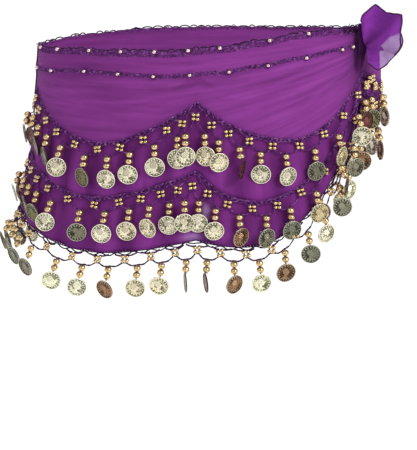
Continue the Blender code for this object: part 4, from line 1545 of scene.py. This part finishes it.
class HIPSCARF_OT_coins(bpy.types.Operator):
    """Build the beads and coin drops"""
    bl_idname = "hipscarf.coins"
    bl_label = "Beads and coins"

    def execute(self, context):
        settings = coin_settings()
        bead = bead_source("bead_source", 12, 6)
        large = bead_source("large_bead_source", 14, 7)
        coin = coin_source("coin_source")
        gold = gold_bead("gold_bead", settings.bead, settings.bead_deep)
        metal = stamped_coin("stamped_coin")
        dark = thread("drop_thread", crochet_settings().colour, crochet_settings().fleck)
        drops = plan_drops()
        # Gold beads with the purple of the cloth around them painted in as a pink reflection.
        reflecting_line_bead = gold_bead("rose_bead", settings.line_bead, settings.bead_deep)
        scatter("beads_crochet", small_bead_spots(), bead, reflecting_line_bead, 0.08, 3)
        for row in (1, 2, 3):
            scatter("beads_net_%d" % row, square_spots(row), bead, gold, 0.08, 10 + row)
            beads, coins = [], []
            for drop in drops:
                if drop.row == row:
                    frames = drop_frames(drop)
                    beads += [turned_spot(point, frames.along, frames.out, frames.down,
                                          BEAD * DROP_BEAD_FULL) for point in frames.beads]
                    coins.append(turned_spot(frames.coin, frames.across, frames.through, frames.down,
                                             COIN, finish_colour(drop.finish, frames.rng)))
            scatter("beads_drop_%d" % row, beads, large, gold, 0.05, 20 + row)
            piece = scatter("coins_%d" % row, coins, coin, metal, 0.03, 30 + row)
            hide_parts("coin_row_%d" % row)
            drop_links(row, drops, dark)
        for source in (bead, large, coin):
            bpy.data.objects.remove(source)
        return {"FINISHED"}


VIEW_SCALE, FRAME_HEIGHT = 1.03e-3, 450          # metres to a pixel at the aim, and pixels
CAMERA_DISTANCE, CAMERA_PITCH, SENSOR = 2.1, 11.7, 36.0
AIM = Vector((-0.00155, 0.0, -0.195))
FLOOR_REACH = 30.0
LAMPS = (("key", 24, (1.0, -0.9, 0.95)), ("fill", 30, (-0.9, -0.9, 1.0)), ("top", 60, (0.0, 0.35, 1.0)))


class HIPSCARF_OT_stage(bpy.types.Operator):
    """Set up the floor, the light and the camera"""
    bl_idname = "hipscarf.stage"
    bl_label = "Stage"

    def execute(self, context):
        settings = context.scene.hip_scarf_stage
        corners = [Vector((x * FLOOR_REACH, y * FLOOR_REACH, -settings.drop)) / MM
                   for x, y in ((-1, -1), (1, -1), (1, 1), (-1, 1))]
        floor = make_object("floor", corners, [(0, 1, 2, 3)], smooth=False)
        graph = Graph("floor")
        graph.set(Base_Color=(*settings.floor, 1.0), Roughness=0.9)
        floor.data.materials.append(graph.material)
        world = bpy.data.worlds.new("studio")
        world.use_nodes = True
        sky = world.node_tree.nodes["Background"]
        sky.inputs["Color"].default_value = (1, 1, 1, 1)
        sky.inputs["Strength"].default_value = settings.sky
        context.scene.world = world
        context.scene.view_settings.view_transform = "Standard"
        for name, spread, where in LAMPS:
            lamp = bpy.data.lights.new(name, "SUN")
            lamp.energy, lamp.angle = getattr(settings, name), math.radians(spread)
            item = link(bpy.data.objects.new(name, lamp))
            item.rotation_euler = (-Vector(where)).to_track_quat("-Z", "Y").to_euler()
        camera = bpy.data.cameras.new("camera")
        pitch = math.radians(CAMERA_PITCH)
        ahead = Vector((0, math.cos(pitch), -math.sin(pitch)))
        item = link(bpy.data.objects.new("camera", camera))
        item.location = AIM - ahead * CAMERA_DISTANCE
        item.rotation_euler = ahead.to_track_quat("-Z", "Y").to_euler()
        camera.sensor_width = SENSOR
        camera.lens = CAMERA_DISTANCE / VIEW_SCALE / FRAME_HEIGHT * SENSOR
        context.scene.camera = item
        return {"FINISHED"}


class HIPSCARF_PT_panel(bpy.types.Panel):
    """Sizes, colours and builders of the hip scarf"""
    bl_idname = "HIPSCARF_PT_panel"
    bl_label = "Hip Scarf"
    bl_space_type = "VIEW_3D"
    bl_region_type = "UI"
    bl_category = "Hip Scarf"

    def draw(self, context):
        layout = self.layout
        for _, group in GROUPS:
            for name in getattr(context.scene, group).__annotations__:
                layout.prop(getattr(context.scene, group), name)
        for operator in OPERATORS:
            layout.operator(operator.bl_idname)


OPERATORS = (HIPSCARF_OT_tiers, HIPSCARF_OT_tie, HIPSCARF_OT_crochet, HIPSCARF_OT_coins,
             HIPSCARF_OT_stage)
GROUPS = ((HipScarfCloth, "hip_scarf_cloth"), (HipScarfCrochet, "hip_scarf_crochet"),
          (HipScarfCoins, "hip_scarf_coins"), (HipScarfStage, "hip_scarf_stage"))


def register():
    for group, name in GROUPS:
        bpy.utils.register_class(group)
        setattr(bpy.types.Scene, name, bpy.props.PointerProperty(type=group))
    for item in OPERATORS + (HIPSCARF_PT_panel,):
        bpy.utils.register_class(item)


def unregister():
    for item in (HIPSCARF_PT_panel,) + OPERATORS[::-1]:
        bpy.utils.unregister_class(item)
    for group, name in reversed(GROUPS):
        delattr(bpy.types.Scene, name)
        bpy.utils.unregister_class(group)


def main():
    register()
    for operator in OPERATORS:
        group, name = operator.bl_idname.split(".")
        getattr(getattr(bpy.ops, group), name)()
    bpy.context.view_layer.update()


if __name__ == "__main__":
    main()
